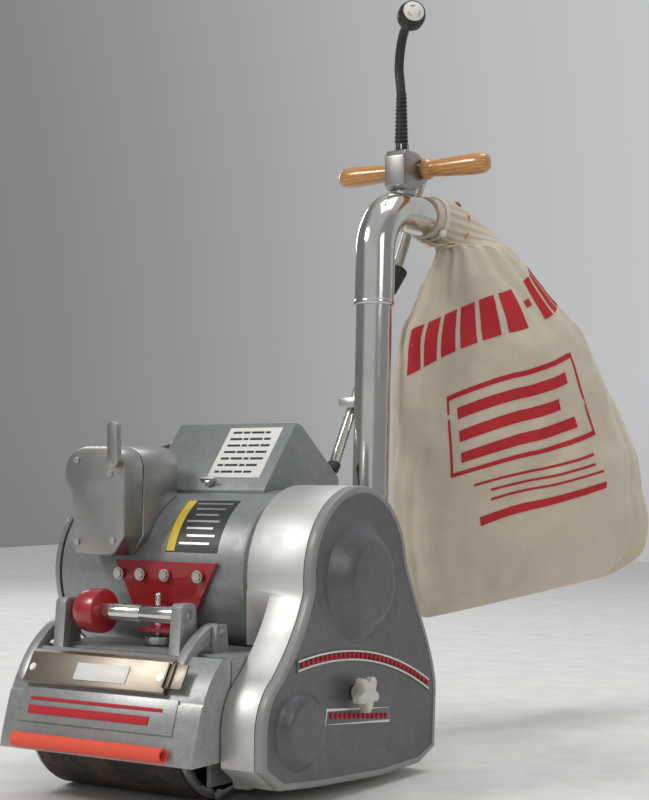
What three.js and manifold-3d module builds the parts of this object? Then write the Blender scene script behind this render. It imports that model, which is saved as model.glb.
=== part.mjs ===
// Floor drum sander: an abrasive drum for eight-inch paper under a lift-up hood, belt driven by a motor on top,
// with a dust fan, a dust pipe that carries the T-handle, and a cloth bag.
// Millimetres. +Z is up, -Y is the front, and +X is the side of the belt guard.
import * as THREE from "three";
import { mergeVertices } from "three/addons/utils/BufferGeometryUtils.js";
import Module from "manifold-3d";

const wasm = await Module();
wasm.setup();

// ---------------------------------------------------------------- driving dimensions
const gap = 0.3; // left between pieces that touch
const runningGap = 0.5; // round a shaft that turns in a plain hole

const drumRadius = 82;
const drumLength = 223;
const drumX = -20.5; // middle of the drum, left of the middle of the body
const drumAxis = { y: 0, z: drumRadius }; // the drum stands on the floor
const abrasiveThickness = 2;
const drumWall = 10;
const drumShaftRadius = 12.5;

const bodyHalfWidth = 139.5;
const plateThickness = 6;
const bodyRear = 372;
const bodyFloor = 20;

const motorAxis = { y: 126, z: 250 };
const motorRadius = 102;
const motorLeft = -204;
const motorRight = 103;
const motorWall = 7;
const motorShaftRadius = 11;

const fanAxis = { y: 235, z: 95 };
const fanRadius = 66;
const fanWidth = 58;
const fanWall = 4;
const fanShaftRadius = 8;

const hoodRadius = 110; // outside of the hood, about the drum's axis
const hoodWall = 6;
const hoodHinge = { y: -20, z: 193 };
const hingePinRadius = 4;
const hingeEyeRadius = 10;

const guardOuterX = bodyHalfWidth + 58.5;
const guardCoverDepth = 12;
const guardWall = 3;
const guardLowerInnerX = bodyHalfWidth + 1.5;
const guardUpperInnerX = motorRight + 5;

const pipeRadius = 25.4;
const pipeWall = 1.6;
const pipeFoot = { y: 459, z: 165 };
const pipeLean = 2.3; // degrees, back from upright
const elbowRadius = pipeRadius + 2.5;
const elbowBend = 66;
const elbowRimZ = 608;
const elbowTopZ = 749;
const elbowEndY = 634;

const handleY = 587;
const handleZ = 815;
const handleWidth = 250;
const gripRadius = 15.5;

const wheelRadius = 45;
const wheelWidth = 30;
const wheelX = 96;
const axleY = 340;
const axleRadius = 8;

const motorPulleyRadius = 30;
const drumPulleyRadius = 42;
const fanPulleyRadius = 20;
const beltThickness = 6;
const driveBeltX = [bodyHalfWidth + 10.5, bodyHalfWidth + 26.5];
const fanBeltX = [bodyHalfWidth + 31.5, bodyHalfWidth + 41.5];

// ---------------------------------------------------------------- finishes
const finish = (color, roughness, metalness) =>
  new THREE.MeshStandardMaterial({ color, roughness, metalness });
const finishes = {
  hammered: finish(0x87918e, 0.45, 0.4),
  darkHammered: finish(0x6c6e72, 0.5, 0.4),
  brushed: finish(0xc8c4c0, 0.35, 1),
  chrome: finish(0xd8d8d8, 0.12, 1),
  steel: finish(0xa8a8a8, 0.35, 1),
  cast: finish(0x8a8a8c, 0.35, 0.9),
  red: finish(0xa81e22, 0.4, 0),
  bumperRed: finish(0xd8321f, 0.5, 0),
  wood: finish(0xc8902c, 0.35, 0),
  canvas: finish(0xd8cbb8, 0.9, 0),
  black: finish(0x141414, 0.6, 0),
  abrasive: finish(0x2a2422, 0.95, 0),
  stainless: finish(0x857a68, 0.4, 1),
  cream: finish(0xd8d4cc, 0.45, 0),
  copper: finish(0xa05a30, 0.4, 1),
};

// ---------------------------------------------------------------- shape helpers
const vector = (x, y, z) => new THREE.Vector3(x, y, z);
const radians = THREE.MathUtils.degToRad;

// A closed geometry as a manifold-3d solid.
function solid(geometry) {
  const bare = geometry.index ? geometry.toNonIndexed() : geometry.clone();
  bare.deleteAttribute("normal");
  bare.deleteAttribute("uv");
  const merged = mergeVertices(bare, 1e-4);
  const triVerts = new Uint32Array(merged.index.array);
  const vertProperties = merged.attributes.position.array;
  const made = new wasm.Manifold(new wasm.Mesh({ numProp: 3, vertProperties, triVerts }));
  if (made.volume() > 0) return made;
  // A profile listed from the far end gives faces that point inwards.
  triVerts.reverse();
  return new wasm.Manifold(new wasm.Mesh({ numProp: 3, vertProperties, triVerts }));
}

function geometryOf(body) {
  const made = body.getMesh();
  const positions = new Float32Array(made.numVert * 3);
  for (let i = 0; i < made.numVert; i++) {
    const start = i * made.numProp;
    positions.set(made.vertProperties.subarray(start, start + 3), i * 3);
  }
  const geometry = new THREE.BufferGeometry();
  geometry.setAttribute("position", new THREE.BufferAttribute(positions, 3));
  geometry.setIndex(new THREE.BufferAttribute(new Uint32Array(made.triVerts), 1));
  return geometry;
}

const join = (...pieces) =>
  geometryOf(pieces.map(solid).reduce((whole, piece) => whole.add(piece)));
const cut = (base, ...tools) =>
  geometryOf(tools.map(solid).reduce((whole, tool) => whole.subtract(tool), solid(base)));
const common = (first, second) => geometryOf(solid(first).intersect(solid(second)));

// An outline drawn as (y, z), pushed along X from x0 to x1.
function alongX(outline, x0, x1, curveSegments = 12) {
  const geometry = new THREE.ExtrudeGeometry(outline, {
    depth: x1 - x0,
    bevelEnabled: false,
    curveSegments,
  });
  const turn = new THREE.Matrix4().makeBasis(vector(0, 1, 0), vector(0, 0, 1), vector(1, 0, 0));
  return geometry.applyMatrix4(turn).translate(x0, 0, 0);
}

// An outline drawn as (x, z), pushed along Y from y0 to y1.
function alongY(outline, y0, y1, curveSegments = 12) {
  const geometry = new THREE.ExtrudeGeometry(outline, {
    depth: y1 - y0,
    bevelEnabled: false,
    curveSegments,
  });
  const turn = new THREE.Matrix4().makeBasis(vector(1, 0, 0), vector(0, 0, 1), vector(0, -1, 0));
  return geometry.applyMatrix4(turn).translate(0, y1, 0);
}

function box(x0, x1, y0, y1, z0, z1) {
  return new THREE.BoxGeometry(x1 - x0, y1 - y0, z1 - z0).translate(
    (x0 + x1) / 2,
    (y0 + y1) / 2,
    (z0 + z1) / 2,
  );
}

function rodX(radius, x0, x1, { y, z }, segments = 20) {
  return new THREE.CylinderGeometry(radius, radius, x1 - x0, segments)
    .rotateZ(-Math.PI / 2)
    .translate((x0 + x1) / 2, y, z);
}

function rodZ(radius, z0, z1, x, y, segments = 20) {
  return new THREE.CylinderGeometry(radius, radius, z1 - z0, segments)
    .rotateX(Math.PI / 2)
    .translate(x, y, (z0 + z1) / 2);
}

// A profile of [radius, x] pairs turned about the line along X through axis.
function turnedX(profile, { y, z }, segments = 20) {
  const points = profile.map(([radius, x]) => new THREE.Vector2(radius, x));
  const turned = new THREE.LatheGeometry(points, segments);
  return join(turned.rotateZ(-Math.PI / 2).translate(0, y, z));
}

// A profile of [radius, z] pairs turned about the upright line through x, y.
function turnedZ(profile, x, y, segments = 20) {
  const points = profile.map(([radius, z]) => new THREE.Vector2(radius, z));
  const turned = new THREE.LatheGeometry(points, segments);
  return join(turned.rotateX(Math.PI / 2).translate(x, y, 0));
}

function polygon(points) {
  return new THREE.Shape(points.map(([first, second]) => new THREE.Vector2(first, second)));
}

// A rounded rectangle about a centre.
function roundedRectangle(centreA, centreB, width, height, radius) {
  const left = centreA - width / 2;
  const low = centreB - height / 2;
  const outline = new THREE.Shape();
  outline.moveTo(left + radius, low);
  outline.lineTo(left + width - radius, low);
  outline.absarc(left + width - radius, low + radius, radius, -Math.PI / 2, 0, false);
  outline.lineTo(left + width, low + height - radius);
  outline.absarc(left + width - radius, low + height - radius, radius, 0, Math.PI / 2, false);
  outline.lineTo(left + radius, low + height);
  outline.absarc(left + radius, low + height - radius, radius, Math.PI / 2, Math.PI, false);
  outline.lineTo(left, low + radius);
  outline.absarc(left + radius, low + radius, radius, Math.PI, Math.PI * 1.5, false);
  return outline;
}

// A round bar along a smooth curve.
function bar(curve, radius, sides, steps) {
  const section = new THREE.Shape();
  for (let i = 0; i < sides; i++) {
    const angle = (i / sides) * 2 * Math.PI;
    const x = radius * Math.cos(angle);
    const y = radius * Math.sin(angle);
    if (i === 0) section.moveTo(x, y);
    else section.lineTo(x, y);
  }
  return new THREE.ExtrudeGeometry(section, { extrudePath: curve, steps, bevelEnabled: false });
}

const throughPoints = (points) =>
  new THREE.CatmullRomCurve3(points.map((point) => vector(...point)), false, "centripetal");

const sander = new THREE.Group();
function piece(name, geometry, material) {
  const mesh = new THREE.Mesh(geometry, material);
  mesh.name = name;
  sander.add(mesh);
  return mesh;
}

// ---------------------------------------------------------------- chassis
// Two side plates, a shield over the drum, a wall behind it, a floor and the motor's deck.
const drumLeft = drumX - drumLength / 2;
const drumRight = drumX + drumLength / 2;
const shieldTop = drumAxis.z + drumRadius + 6.5;
const shieldThickness = 4;
const innerPlateX = drumRight + 6;
const pinX = [drumX - 111, drumX + 110]; // middles of the hood's two arms
const armWidth = 13;

const deckZ = 128; // top of the deck that the motor's cradle stands on
const deckRear = 160;

const sideOutline = polygon([
  [-52, 60], [-38, 24], [-20, bodyFloor], [bodyRear - 30, bodyFloor], [bodyRear, bodyFloor + 20],
  [bodyRear, 70], [bodyRear - 70, 122], [90, deckZ], [48, shieldTop], [-50, shieldTop],
]);
const shieldOutline = polygon([
  [-50, shieldTop - shieldThickness], [44, shieldTop - shieldThickness], [88, deckZ - 6],
  [deckRear, deckZ - 6], [deckRear, deckZ], [90, deckZ], [48, shieldTop], [-50, shieldTop],
]);
const bearingRadius = 24;
const bearingWidth = 12;
const lugOutline = polygon([
  [hoodHinge.y - 12, shieldTop - 2], [hoodHinge.y + 14, shieldTop - 2],
  [hoodHinge.y + 9, hoodHinge.z + 9], [hoodHinge.y - 9, hoodHinge.z + 9],
]);
const chassisBody = join(
  alongX(sideOutline, -bodyHalfWidth, -bodyHalfWidth + plateThickness),
  alongX(sideOutline, bodyHalfWidth - plateThickness, bodyHalfWidth),
  alongX(shieldOutline, -bodyHalfWidth + 1, bodyHalfWidth - 1),
  box(-bodyHalfWidth + 1, bodyHalfWidth - 1, 92, 98, bodyFloor, 124),
  box(-bodyHalfWidth + 1, bodyHalfWidth - 1, 97, axleY - wheelRadius - 3, bodyFloor, bodyFloor + 5),
  box(innerPlateX, innerPlateX + plateThickness, -40, 48, bodyFloor + 2, shieldTop - 1),
  rodX(bearingRadius + 7, innerPlateX, bodyHalfWidth - 1, drumAxis, 24),
  rodX(bearingRadius + 7, -bodyHalfWidth, -bodyHalfWidth + 20, drumAxis, 24),
  ...pinX.map((x) => alongX(lugOutline, x + armWidth / 2 + gap + 0.4, x + armWidth / 2 + 7)),
);
const chassis = cut(
  chassisBody,
  rodX(bearingRadius + gap, innerPlateX - 1, bodyHalfWidth + 1, drumAxis, 24),
  rodX(bearingRadius + gap, -bodyHalfWidth + 6, -bodyHalfWidth + 21, drumAxis, 24),
  rodX(hingePinRadius + gap, -bodyHalfWidth - 1, bodyHalfWidth + 1, hoodHinge, 16),
  rodX(fanShaftRadius + 4, bodyHalfWidth - 8, bodyHalfWidth + 1, fanAxis, 24),
  rodX(axleRadius + gap, -bodyHalfWidth - 1, bodyHalfWidth + 1, { y: axleY, z: wheelRadius }, 24),
  box(-40, 40, 88, 100, 48, 96), // the dust port
);
piece("chassis", chassis, finishes.hammered);

// ---------------------------------------------------------------- drum
const headRadius = drumRadius - abrasiveThickness - gap;
const slotRadius = 60; // where the paper clamp turns
const clampRadius = 8;
const clampAxis = {
  y: drumAxis.y + slotRadius * Math.cos(radians(70)),
  z: drumAxis.z + slotRadius * Math.sin(radians(70)),
};
const drumCore = cut(
  join(
    rodX(headRadius, drumLeft, drumRight, drumAxis, 36),
  ),
  rodX(headRadius - drumWall, drumLeft - 1, drumLeft + 60, drumAxis, 24),
  rodX(headRadius - drumWall, drumRight - 60, drumRight + 1, drumAxis, 24),
);
const clampTube = rodX(clampRadius + 6, drumLeft + 2, drumRight - 2, clampAxis, 20);
piece(
  "drum_core",
  cut(
    common(join(drumCore, clampTube), rodX(headRadius, drumLeft, drumRight, drumAxis, 36)),
    rodX(clampRadius + runningGap, drumLeft - 1, drumRight + 1, clampAxis, 20),
    rodX(drumShaftRadius + gap, drumLeft - 1, drumRight + 1, drumAxis, 24),
  ),
  finishes.cast,
);
piece(
  "abrasive_sleeve",
  cut(
    rodX(drumRadius, drumLeft + 6, drumRight - 6, drumAxis, 56),
    rodX(drumRadius - abrasiveThickness, drumLeft, drumRight, drumAxis, 36),
  ),
  finishes.abrasive,
);
piece(
  "paper_clamp_rod",
  cut(
    rodX(clampRadius, drumLeft - 0.5, drumRight - 2, clampAxis, 20),
    box(drumLeft + 8, drumRight + 1, clampAxis.y + 5, clampAxis.y + 20, 0, 200),
  ),
  finishes.steel,
);
const drumShaftRight = driveBeltX[1] + 8;
piece(
  "drum_shaft",
  rodX(drumShaftRadius, -bodyHalfWidth + 6.5, drumShaftRight, drumAxis, 24),
  finishes.steel,
);
const bearing = (x) =>
  cut(
    rodX(bearingRadius, x, x + bearingWidth, drumAxis, 24),
    rodX(drumShaftRadius + gap, x - 1, x + bearingWidth + 1, drumAxis, 24),
  );
piece("drum_bearing_left", bearing(-bodyHalfWidth + 7), finishes.steel);
piece("drum_bearing_right", bearing(bodyHalfWidth - bearingWidth - 8), finishes.steel);

// A belt pulley with a flange on each side of its face.
function pulley(radius, x0, x1, axis, boreRadius) {
  const flange = 2;
  const profile = [
    [boreRadius + gap, x0 - flange], [radius + 5, x0 - flange], [radius + 5, x0],
    [radius, x0], [radius, x1], [radius + 5, x1], [radius + 5, x1 + flange],
    [boreRadius + gap, x1 + flange], [boreRadius + gap, x0 - flange],
  ];
  return turnedX(profile, axis, 24);
}
piece(
  "drum_pulley",
  pulley(drumPulleyRadius, driveBeltX[0] - 1, driveBeltX[1] + 1, drumAxis, drumShaftRadius),
  finishes.cast,
);

// ---------------------------------------------------------------- motor
const shellOutline = (radius) => rodX(radius, motorLeft + 26, motorRight, motorAxis, 36);
piece(
  "motor_shell",
  cut(
    join(shellOutline(motorRadius)),
    rodX(motorRadius - motorWall, motorLeft + 25, motorRight - motorWall, motorAxis, 28),
    rodX(motorShaftRadius + 1, motorRight - 20, motorRight + 1, motorAxis, 24),
  ),
  finishes.hammered,
);
piece(
  "motor_end_bell",
  turnedX(
    [
      [0, motorLeft], [motorRadius - 34, motorLeft], [motorRadius - 12, motorLeft + 5],
      [motorRadius - 2, motorLeft + 16], [motorRadius, motorLeft + 25.7 - 2],
      [motorRadius - motorWall - 1, motorLeft + 25.7 - 2],
      [motorRadius - motorWall - 1, motorLeft + 34], [motorRadius - motorWall - 5, motorLeft + 34],
      [motorRadius - motorWall - 5, motorLeft + 24], [0, motorLeft + 24],
    ],
    motorAxis,
    48,
  ),
  finishes.hammered,
);
const rotorLength = 120;
const rotorX = -40;
const rotorRadius = 52;
const statorOuter = motorRadius - motorWall - 1;
piece(
  "stator_winding",
  cut(
    rodX(statorOuter, rotorX - rotorLength / 2 - 12, rotorX + rotorLength / 2 + 12, motorAxis, 24),
    rodX(rotorRadius + 2, rotorX - rotorLength, rotorX + rotorLength, motorAxis, 24),
  ),
  finishes.copper,
);
piece(
  "rotor_core",
  cut(
    rodX(rotorRadius, rotorX - rotorLength / 2, rotorX + rotorLength / 2, motorAxis, 24),
    rodX(motorShaftRadius + gap, rotorX - rotorLength, rotorX + rotorLength, motorAxis, 24),
  ),
  finishes.steel,
);
const motorShaftRight = fanBeltX[1] + 5;
piece(
  "motor_shaft",
  rodX(motorShaftRadius, motorLeft + 26, motorShaftRight, motorAxis, 24),
  finishes.steel,
);
piece(
  "motor_pulley",
  pulley(motorPulleyRadius, driveBeltX[0] - 1, fanBeltX[1] + 1, motorAxis, motorShaftRadius),
  finishes.cast,
);
// A cradle that the motor lies in, bolted to the deck.
const cradleTop = 176;
const cradle = cut(
  join(
    box(-110, 70, 93, deckRear - 2, deckZ + gap, deckZ + 6),
    box(-100, -84, 93, deckRear - 2, deckZ + 2, cradleTop),
    box(44, 60, 93, deckRear - 2, deckZ + 2, cradleTop),
  ),
  rodX(motorRadius + gap, -120, 80, motorAxis, 36),
);
piece("motor_cradle", cradle, finishes.darkHammered);

// ---------------------------------------------------------------- belt tension
const tensionX = -9;
const studRadius = 4;
const studY = 6;
const shelfZ = shieldTop + 16;
const plateY = motorAxis.y - motorRadius - 1.5;
const tensionPlate = cut(
  join(
    alongY(
      polygon([[tensionX - 76, 268], [tensionX + 76, 268], [tensionX + 42, 204], [tensionX - 42, 204]]),
      plateY - 5, plateY,
    ),
    box(tensionX - 20, tensionX + 30, plateY - 5, plateY, shelfZ, 206),
    box(tensionX - 20, tensionX + 30, studY - 14, plateY, shelfZ, shelfZ + 5),
    ...[-67, -34, 3, 52].map((offset) =>
      new THREE.CylinderGeometry(6.2, 6.2, 7, 6).translate(tensionX + offset, plateY - 7.5, 252),
    ),
  ),
  rodZ(studRadius + gap, shelfZ - 1, shelfZ + 6, tensionX, studY, 16),
);
piece("tension_plate", tensionPlate, finishes.red);
piece(
  "tension_stud",
  turnedZ(
    [[0, shieldTop + gap], [studRadius, shieldTop + gap], [studRadius, 230], [studRadius - 1.5, 232],
      [0, 232]],
    tensionX, studY, 16,
  ),
  finishes.chrome,
);
const nutRadius = 15.5;
piece(
  "tension_nut",
  turnedZ(
    [[studRadius + gap, shieldTop + 1], [nutRadius, shieldTop + 1], [nutRadius, shieldTop + 10.5],
      [studRadius + gap, shieldTop + 10.5], [studRadius + gap, shieldTop + 1]],
    tensionX, studY, 32,
  ),
  finishes.steel,
);

// ---------------------------------------------------------------- box on the motor
const boxX = [-101, 78];
const boxOutline = polygon([
  [98, 330], [98, 352], [166, 434], [178, 431], [262, 366], [262, 300], [200, 250],
]);
const terminalBox = cut(
  alongX(boxOutline, boxX[0], boxX[1]),
  rodX(motorRadius + gap, boxX[0] - 1, boxX[1] + 1, motorAxis, 36),
);
const inner = polygon([[122, 346], [122, 362], [170, 422], [250, 358], [250, 310], [224, 290]]);
const cavity = alongX(inner, boxX[0] + 5, boxX[1] - 5);
const cableHoles = [
  rodX(8, boxX[0] - 1, boxX[0] + 20, { y: 166, z: 404 }, 16),
  new THREE.CylinderGeometry(7, 7, 40, 16).translate(-36, 255, 335),
];
piece("terminal_box", cut(terminalBox, cavity, ...cableHoles), finishes.hammered);
const nutX = -6;
const slopeTilt = Math.atan2(434 - 352, 166 - 98);
const wingNut = join(
  new THREE.CylinderGeometry(5, 6, 8, 12).rotateX(Math.PI / 2).translate(0, 0, 4),
  new THREE.BoxGeometry(22, 3, 9).translate(0, 0, 7),
);
wingNut.rotateX(slopeTilt).translate(nutX, 104 - gap * 2, 359 + gap * 2);
piece("wing_nut", wingNut, finishes.steel);

// ---------------------------------------------------------------- switch
const switchX = [-130, -46];
const switchZ = [273, 402];
const switchOutline = new THREE.Shape();
switchOutline.moveTo(-122, 276);
switchOutline.lineTo(-62, 274);
switchOutline.lineTo(-46, 296);
switchOutline.lineTo(-44, 380);
switchOutline.quadraticCurveTo(-48, 402, -66, 404);
switchOutline.lineTo(-106, 404);
switchOutline.quadraticCurveTo(-140, 398, -138, 366);
switchOutline.lineTo(-128, 348);
switchOutline.closePath();
const switchBase = cut(
  alongY(switchOutline, 22 + gap, 88),
  rodX(motorRadius + gap, -150, 0, motorAxis, 36),
  box(-122, -56, 20, 60, 340, 394),
);
piece("switch_base", switchBase, finishes.cast);
piece("switch_cover", alongY(switchOutline, -14, 22), finishes.cast);
const leverAxis = { x: -52, z: 388 };
const lever = join(
  new THREE.CylinderGeometry(9, 9, 12, 20).translate(leverAxis.x, -21, leverAxis.z),
  alongY(roundedRectangle(leverAxis.x, leverAxis.z + 22, 15, 46, 7), -27, -19, 4),
);
piece("switch_lever", lever, finishes.cast);

const fittingY = 166;
const fittingZ = 404;
piece(
  "cable_fitting",
  join(
    rodX(7.5, boxX[0] - 12, boxX[0] + 12, { y: fittingY, z: fittingZ }, 16),
    rodX(12, boxX[0] - 10, boxX[0] - gap, { y: fittingY, z: fittingZ }, 6),
  ),
  finishes.steel,
);
const switchCable = throughPoints([
  [boxX[0] - 12.6, 166, 404], [boxX[0] - 17, 166, 404], [boxX[0] - 25, 160, 401],
  [-127, 146, 392], [-120, 126, 383], [-111, 108, 378], [-106, 97, 377], [-106, 88.6, 377],
]);
piece("switch_cable", bar(switchCable, 6, 10, 14), finishes.black);

// ---------------------------------------------------------------- dust fan
const volute = join(
  rodX(fanRadius, -fanWidth / 2, fanWidth / 2, fanAxis, 24),
  box(-fanWidth / 2, fanWidth / 2, fanAxis.y, 478, fanAxis.z + 12, fanAxis.z + fanRadius),
);
const socketRadius = pipeRadius + 7;
const lean = radians(pipeLean);
const leanAt = (z) => pipeFoot.y + (z - pipeFoot.z) * Math.tan(lean);
function alongPipe(radius, z0, z1, segments = 20) {
  const low = vector(0, leanAt(z0), z0);
  const high = vector(0, leanAt(z1), z1);
  return new THREE.CylinderGeometry(radius, radius, low.distanceTo(high), segments)
    .rotateX(Math.PI / 2)
    .rotateX(-lean)
    .translate(0, (low.y + high.y) / 2, (low.z + high.z) / 2);
}
const inlet = rodX(26, -fanWidth / 2 - 1, -fanWidth / 2 + fanWall + 1, fanAxis, 24);
const fanHousing = cut(
  join(volute, alongPipe(socketRadius, fanAxis.z + 16, 218)),
  join(
    rodX(fanRadius - fanWall, fanWall - fanWidth / 2, fanWidth / 2 - fanWall, fanAxis, 24),
    box(
      fanWall - fanWidth / 2, fanWidth / 2 - fanWall, fanAxis.y, 478 - fanWall,
      fanAxis.z + 12 + fanWall, fanAxis.z + fanRadius - fanWall,
    ),
  ),
  alongPipe(pipeRadius + 2 * gap, pipeFoot.z - 2, 219, 28),
  alongPipe(pipeRadius - 4, fanAxis.z + 20, 200),
  inlet,
  rodX(fanShaftRadius + runningGap, fanWidth / 2 - fanWall - 1, fanWidth / 2 + 1, fanAxis, 24),
);
piece("fan_housing", fanHousing, finishes.hammered);
const bladeCount = 6;
const impellerWidth = fanWidth - 2 * fanWall - 8;
const impellerX = -impellerWidth / 2;
const blades = Array.from({ length: bladeCount }, (_, index) =>
  new THREE.BoxGeometry(impellerWidth, 4, 44)
    .translate(impellerX + impellerWidth / 2, 0, 33)
    .rotateX((index / bladeCount) * 2 * Math.PI)
    .translate(0, fanAxis.y, fanAxis.z),
);
piece(
  "fan_impeller",
  cut(
    join(
      rodX(16, impellerX, impellerX + impellerWidth, fanAxis, 24),
      rodX(54, impellerX + impellerWidth - 4, impellerX + impellerWidth, fanAxis, 24),
      ...blades,
    ),
    rodX(fanShaftRadius + gap, -60, 60, fanAxis, 24),
  ),
  finishes.cast,
);
piece("fan_shaft", rodX(fanShaftRadius, impellerX, motorShaftRight, fanAxis, 24), finishes.steel);
piece(
  "fan_pulley",
  pulley(fanPulleyRadius, fanBeltX[0] - 1, fanBeltX[1] + 1, fanAxis, fanShaftRadius),
  finishes.cast,
);

// ---------------------------------------------------------------- belts
// A belt round two pulleys: two half rounds and the straight runs between them.
function beltLoop(first, firstRadius, second, secondRadius) {
  const distance = Math.hypot(second.y - first.y, second.z - first.z);
  const towards = Math.atan2(second.z - first.z, second.y - first.y);
  const spread = Math.acos((firstRadius - secondRadius) / distance);
  const outline = new THREE.Shape();
  outline.absarc(first.y, first.z, firstRadius, towards + spread, towards - spread + 2 * Math.PI);
  outline.absarc(second.y, second.z, secondRadius, towards - spread, towards + spread);
  outline.closePath();
  return outline;
}
function belt(xs, first, firstRadius, second, secondRadius) {
  const outer = beltLoop(first, firstRadius + beltThickness, second, secondRadius + beltThickness);
  const clear = gap + 0.5;
  const innerLoop = beltLoop(first, firstRadius + clear, second, secondRadius + clear);
  return cut(alongX(outer, xs[0], xs[1], 16), alongX(innerLoop, xs[0] - 1, xs[1] + 1, 16));
}
piece(
  "drive_belt",
  belt(driveBeltX, motorAxis, motorPulleyRadius, drumAxis, drumPulleyRadius),
  finishes.black,
);
piece(
  "fan_belt",
  belt(fanBeltX, motorAxis, motorPulleyRadius, fanAxis, fanPulleyRadius),
  finishes.black,
);

// ---------------------------------------------------------------- belt guard
const guardTop = { y: 127, z: 252, radius: 106 };
const guardNose = { y: 2, z: 88, radius: 75 };
// The outline, made smaller by inset on every side.
function guardOutline(inset) {
  const top = guardTop.radius - inset;
  const nose = guardNose.radius - inset;
  const at = (centre, radius, angle) => [
    centre.y + radius * Math.cos(radians(angle)),
    centre.z + radius * Math.sin(radians(angle)),
  ];
  const outline = new THREE.Shape();
  outline.moveTo(-73 + inset, 52 + inset * 0.4);
  outline.lineTo(...at(guardNose, nose, 180));
  outline.absarc(guardNose.y, guardNose.z, nose, Math.PI, radians(124), true);
  outline.quadraticCurveTo(6 + inset, 196 - inset * 0.4, ...at(guardTop, top, 186));
  outline.absarc(guardTop.y, guardTop.z, top, radians(186), radians(22), true);
  outline.lineTo(234 - inset, 257);
  outline.lineTo(270 - inset, 190);
  outline.quadraticCurveTo(304 - inset, 132, 304 - inset, 100);
  outline.lineTo(300 - inset, 29 + inset * 0.6);
  outline.lineTo(262 - inset * 0.4, 14 + inset);
  outline.lineTo(170, 12 + inset);
  outline.lineTo(34, 20 + inset);
  outline.lineTo(-38 + inset * 0.4, 27 + inset);
  outline.closePath();
  return outline;
}
const stepZ = 176;
const coverInnerX = guardOuterX - guardCoverDepth;
const bandOuter = join(
  alongX(guardOutline(0), guardLowerInnerX, coverInnerX - gap, 10),
  common(
    alongX(guardOutline(0), guardUpperInnerX, guardLowerInnerX + 1, 10),
    box(0, 250, 20, 400, stepZ, 420),
  ),
);
const bandInner = join(
  alongX(guardOutline(guardWall), guardLowerInnerX + guardWall, coverInnerX + 1, 8),
  common(
    alongX(guardOutline(guardWall), guardUpperInnerX + guardWall, guardLowerInnerX + guardWall + 1, 8),
    box(0, 250, 20 + guardWall, 400, stepZ + guardWall, 420),
  ),
);
const knobAxis = { y: 110.6, z: 117.7 };
piece(
  "guard_band",
  join(
    cut(
      bandOuter,
      bandInner,
      rodX(motorShaftRadius + 3, guardUpperInnerX - 8, guardUpperInnerX + 42, motorAxis, 24),
      rodX(drumShaftRadius + 3, guardLowerInnerX - 11, guardLowerInnerX + 9, drumAxis, 24),
      rodX(fanShaftRadius + 3, guardLowerInnerX - 11, guardLowerInnerX + 9, fanAxis, 24),
    ),
    rodX(5, guardLowerInnerX + 1, guardOuterX + 14, knobAxis, 16),
  ),
  finishes.brushed,
);
const dome = (axis, base, plateau, height) =>
  turnedX(
    [[0, guardOuterX - 4], [base, guardOuterX - 4], [base, guardOuterX],
      [plateau, guardOuterX + height], [0, guardOuterX + height]],
    axis, 40,
  );
const drumDomeAxis = { y: drumAxis.y, z: drumAxis.z + 6 };
piece(
  "guard_cover",
  cut(
    join(
      cut(
        alongX(guardOutline(0), coverInnerX, guardOuterX, 10),
        alongX(guardOutline(5), coverInnerX - 1, guardOuterX - 4, 8),
      ),
      dome({ y: 125.6, z: 246 }, 71, 44, 18),
      dome(drumDomeAxis, 45, 33, 10),
    ),
    rodX(5 + runningGap, coverInnerX - 2, guardOuterX + 3, knobAxis, 16),
  ),
  finishes.darkHammered,
);
const lobes = 5;
const lobe = (index) => {
  const angle = ((index + 0.75) / lobes) * 2 * Math.PI + radians(0);
  return rodX(6.5, guardOuterX + 8, guardOuterX + 22, {
    y: knobAxis.y + 16 * Math.cos(angle),
    z: knobAxis.z + 16 * Math.sin(angle),
  }, 16);
};
piece(
  "star_knob",
  cut(
    join(
      rodX(15, guardOuterX + 8, guardOuterX + 22, knobAxis, 24),
      rodX(9, guardOuterX + gap, guardOuterX + 9, knobAxis, 20),
      ...Array.from({ length: lobes }, (_, index) => lobe(index)),
    ),
    rodX(5 + gap, guardOuterX - 1, guardOuterX + 15, knobAxis, 16),
  ),
  finishes.cream,
);

// ---------------------------------------------------------------- dust pipe and elbow
piece(
  "dust_pipe",
  cut(
    alongPipe(pipeRadius, pipeFoot.z, elbowRimZ + 42, 28),
    alongPipe(pipeRadius - pipeWall, pipeFoot.z - 1, elbowRimZ + 43, 28),
  ),
  finishes.chrome,
);
const bendCentre = { y: leanAt(elbowTopZ - elbowBend) + elbowBend, z: elbowTopZ - elbowBend };
const elbowPath = (startZ, endY) => {
  const points = [[0, leanAt(startZ), startZ]];
  const bendSteps = 10;
  for (let i = 0; i <= bendSteps; i++) {
    const angle = Math.PI - (i / bendSteps) * (Math.PI / 2);
    points.push([
      0, bendCentre.y + elbowBend * Math.cos(angle), bendCentre.z + elbowBend * Math.sin(angle),
    ]);
  }
  points.push([0, (bendCentre.y + endY) / 2, elbowTopZ], [0, endY, elbowTopZ]);
  return throughPoints(points);
};
const elbowLength = 16; // steps along the elbow
piece(
  "elbow",
  cut(
    bar(elbowPath(elbowRimZ, elbowEndY), elbowRadius, 24, elbowLength),
    bar(elbowPath(elbowRimZ - 1, elbowEndY + 1), pipeRadius + gap + 0.2, 20, elbowLength),
  ),
  finishes.chrome,
);

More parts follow.
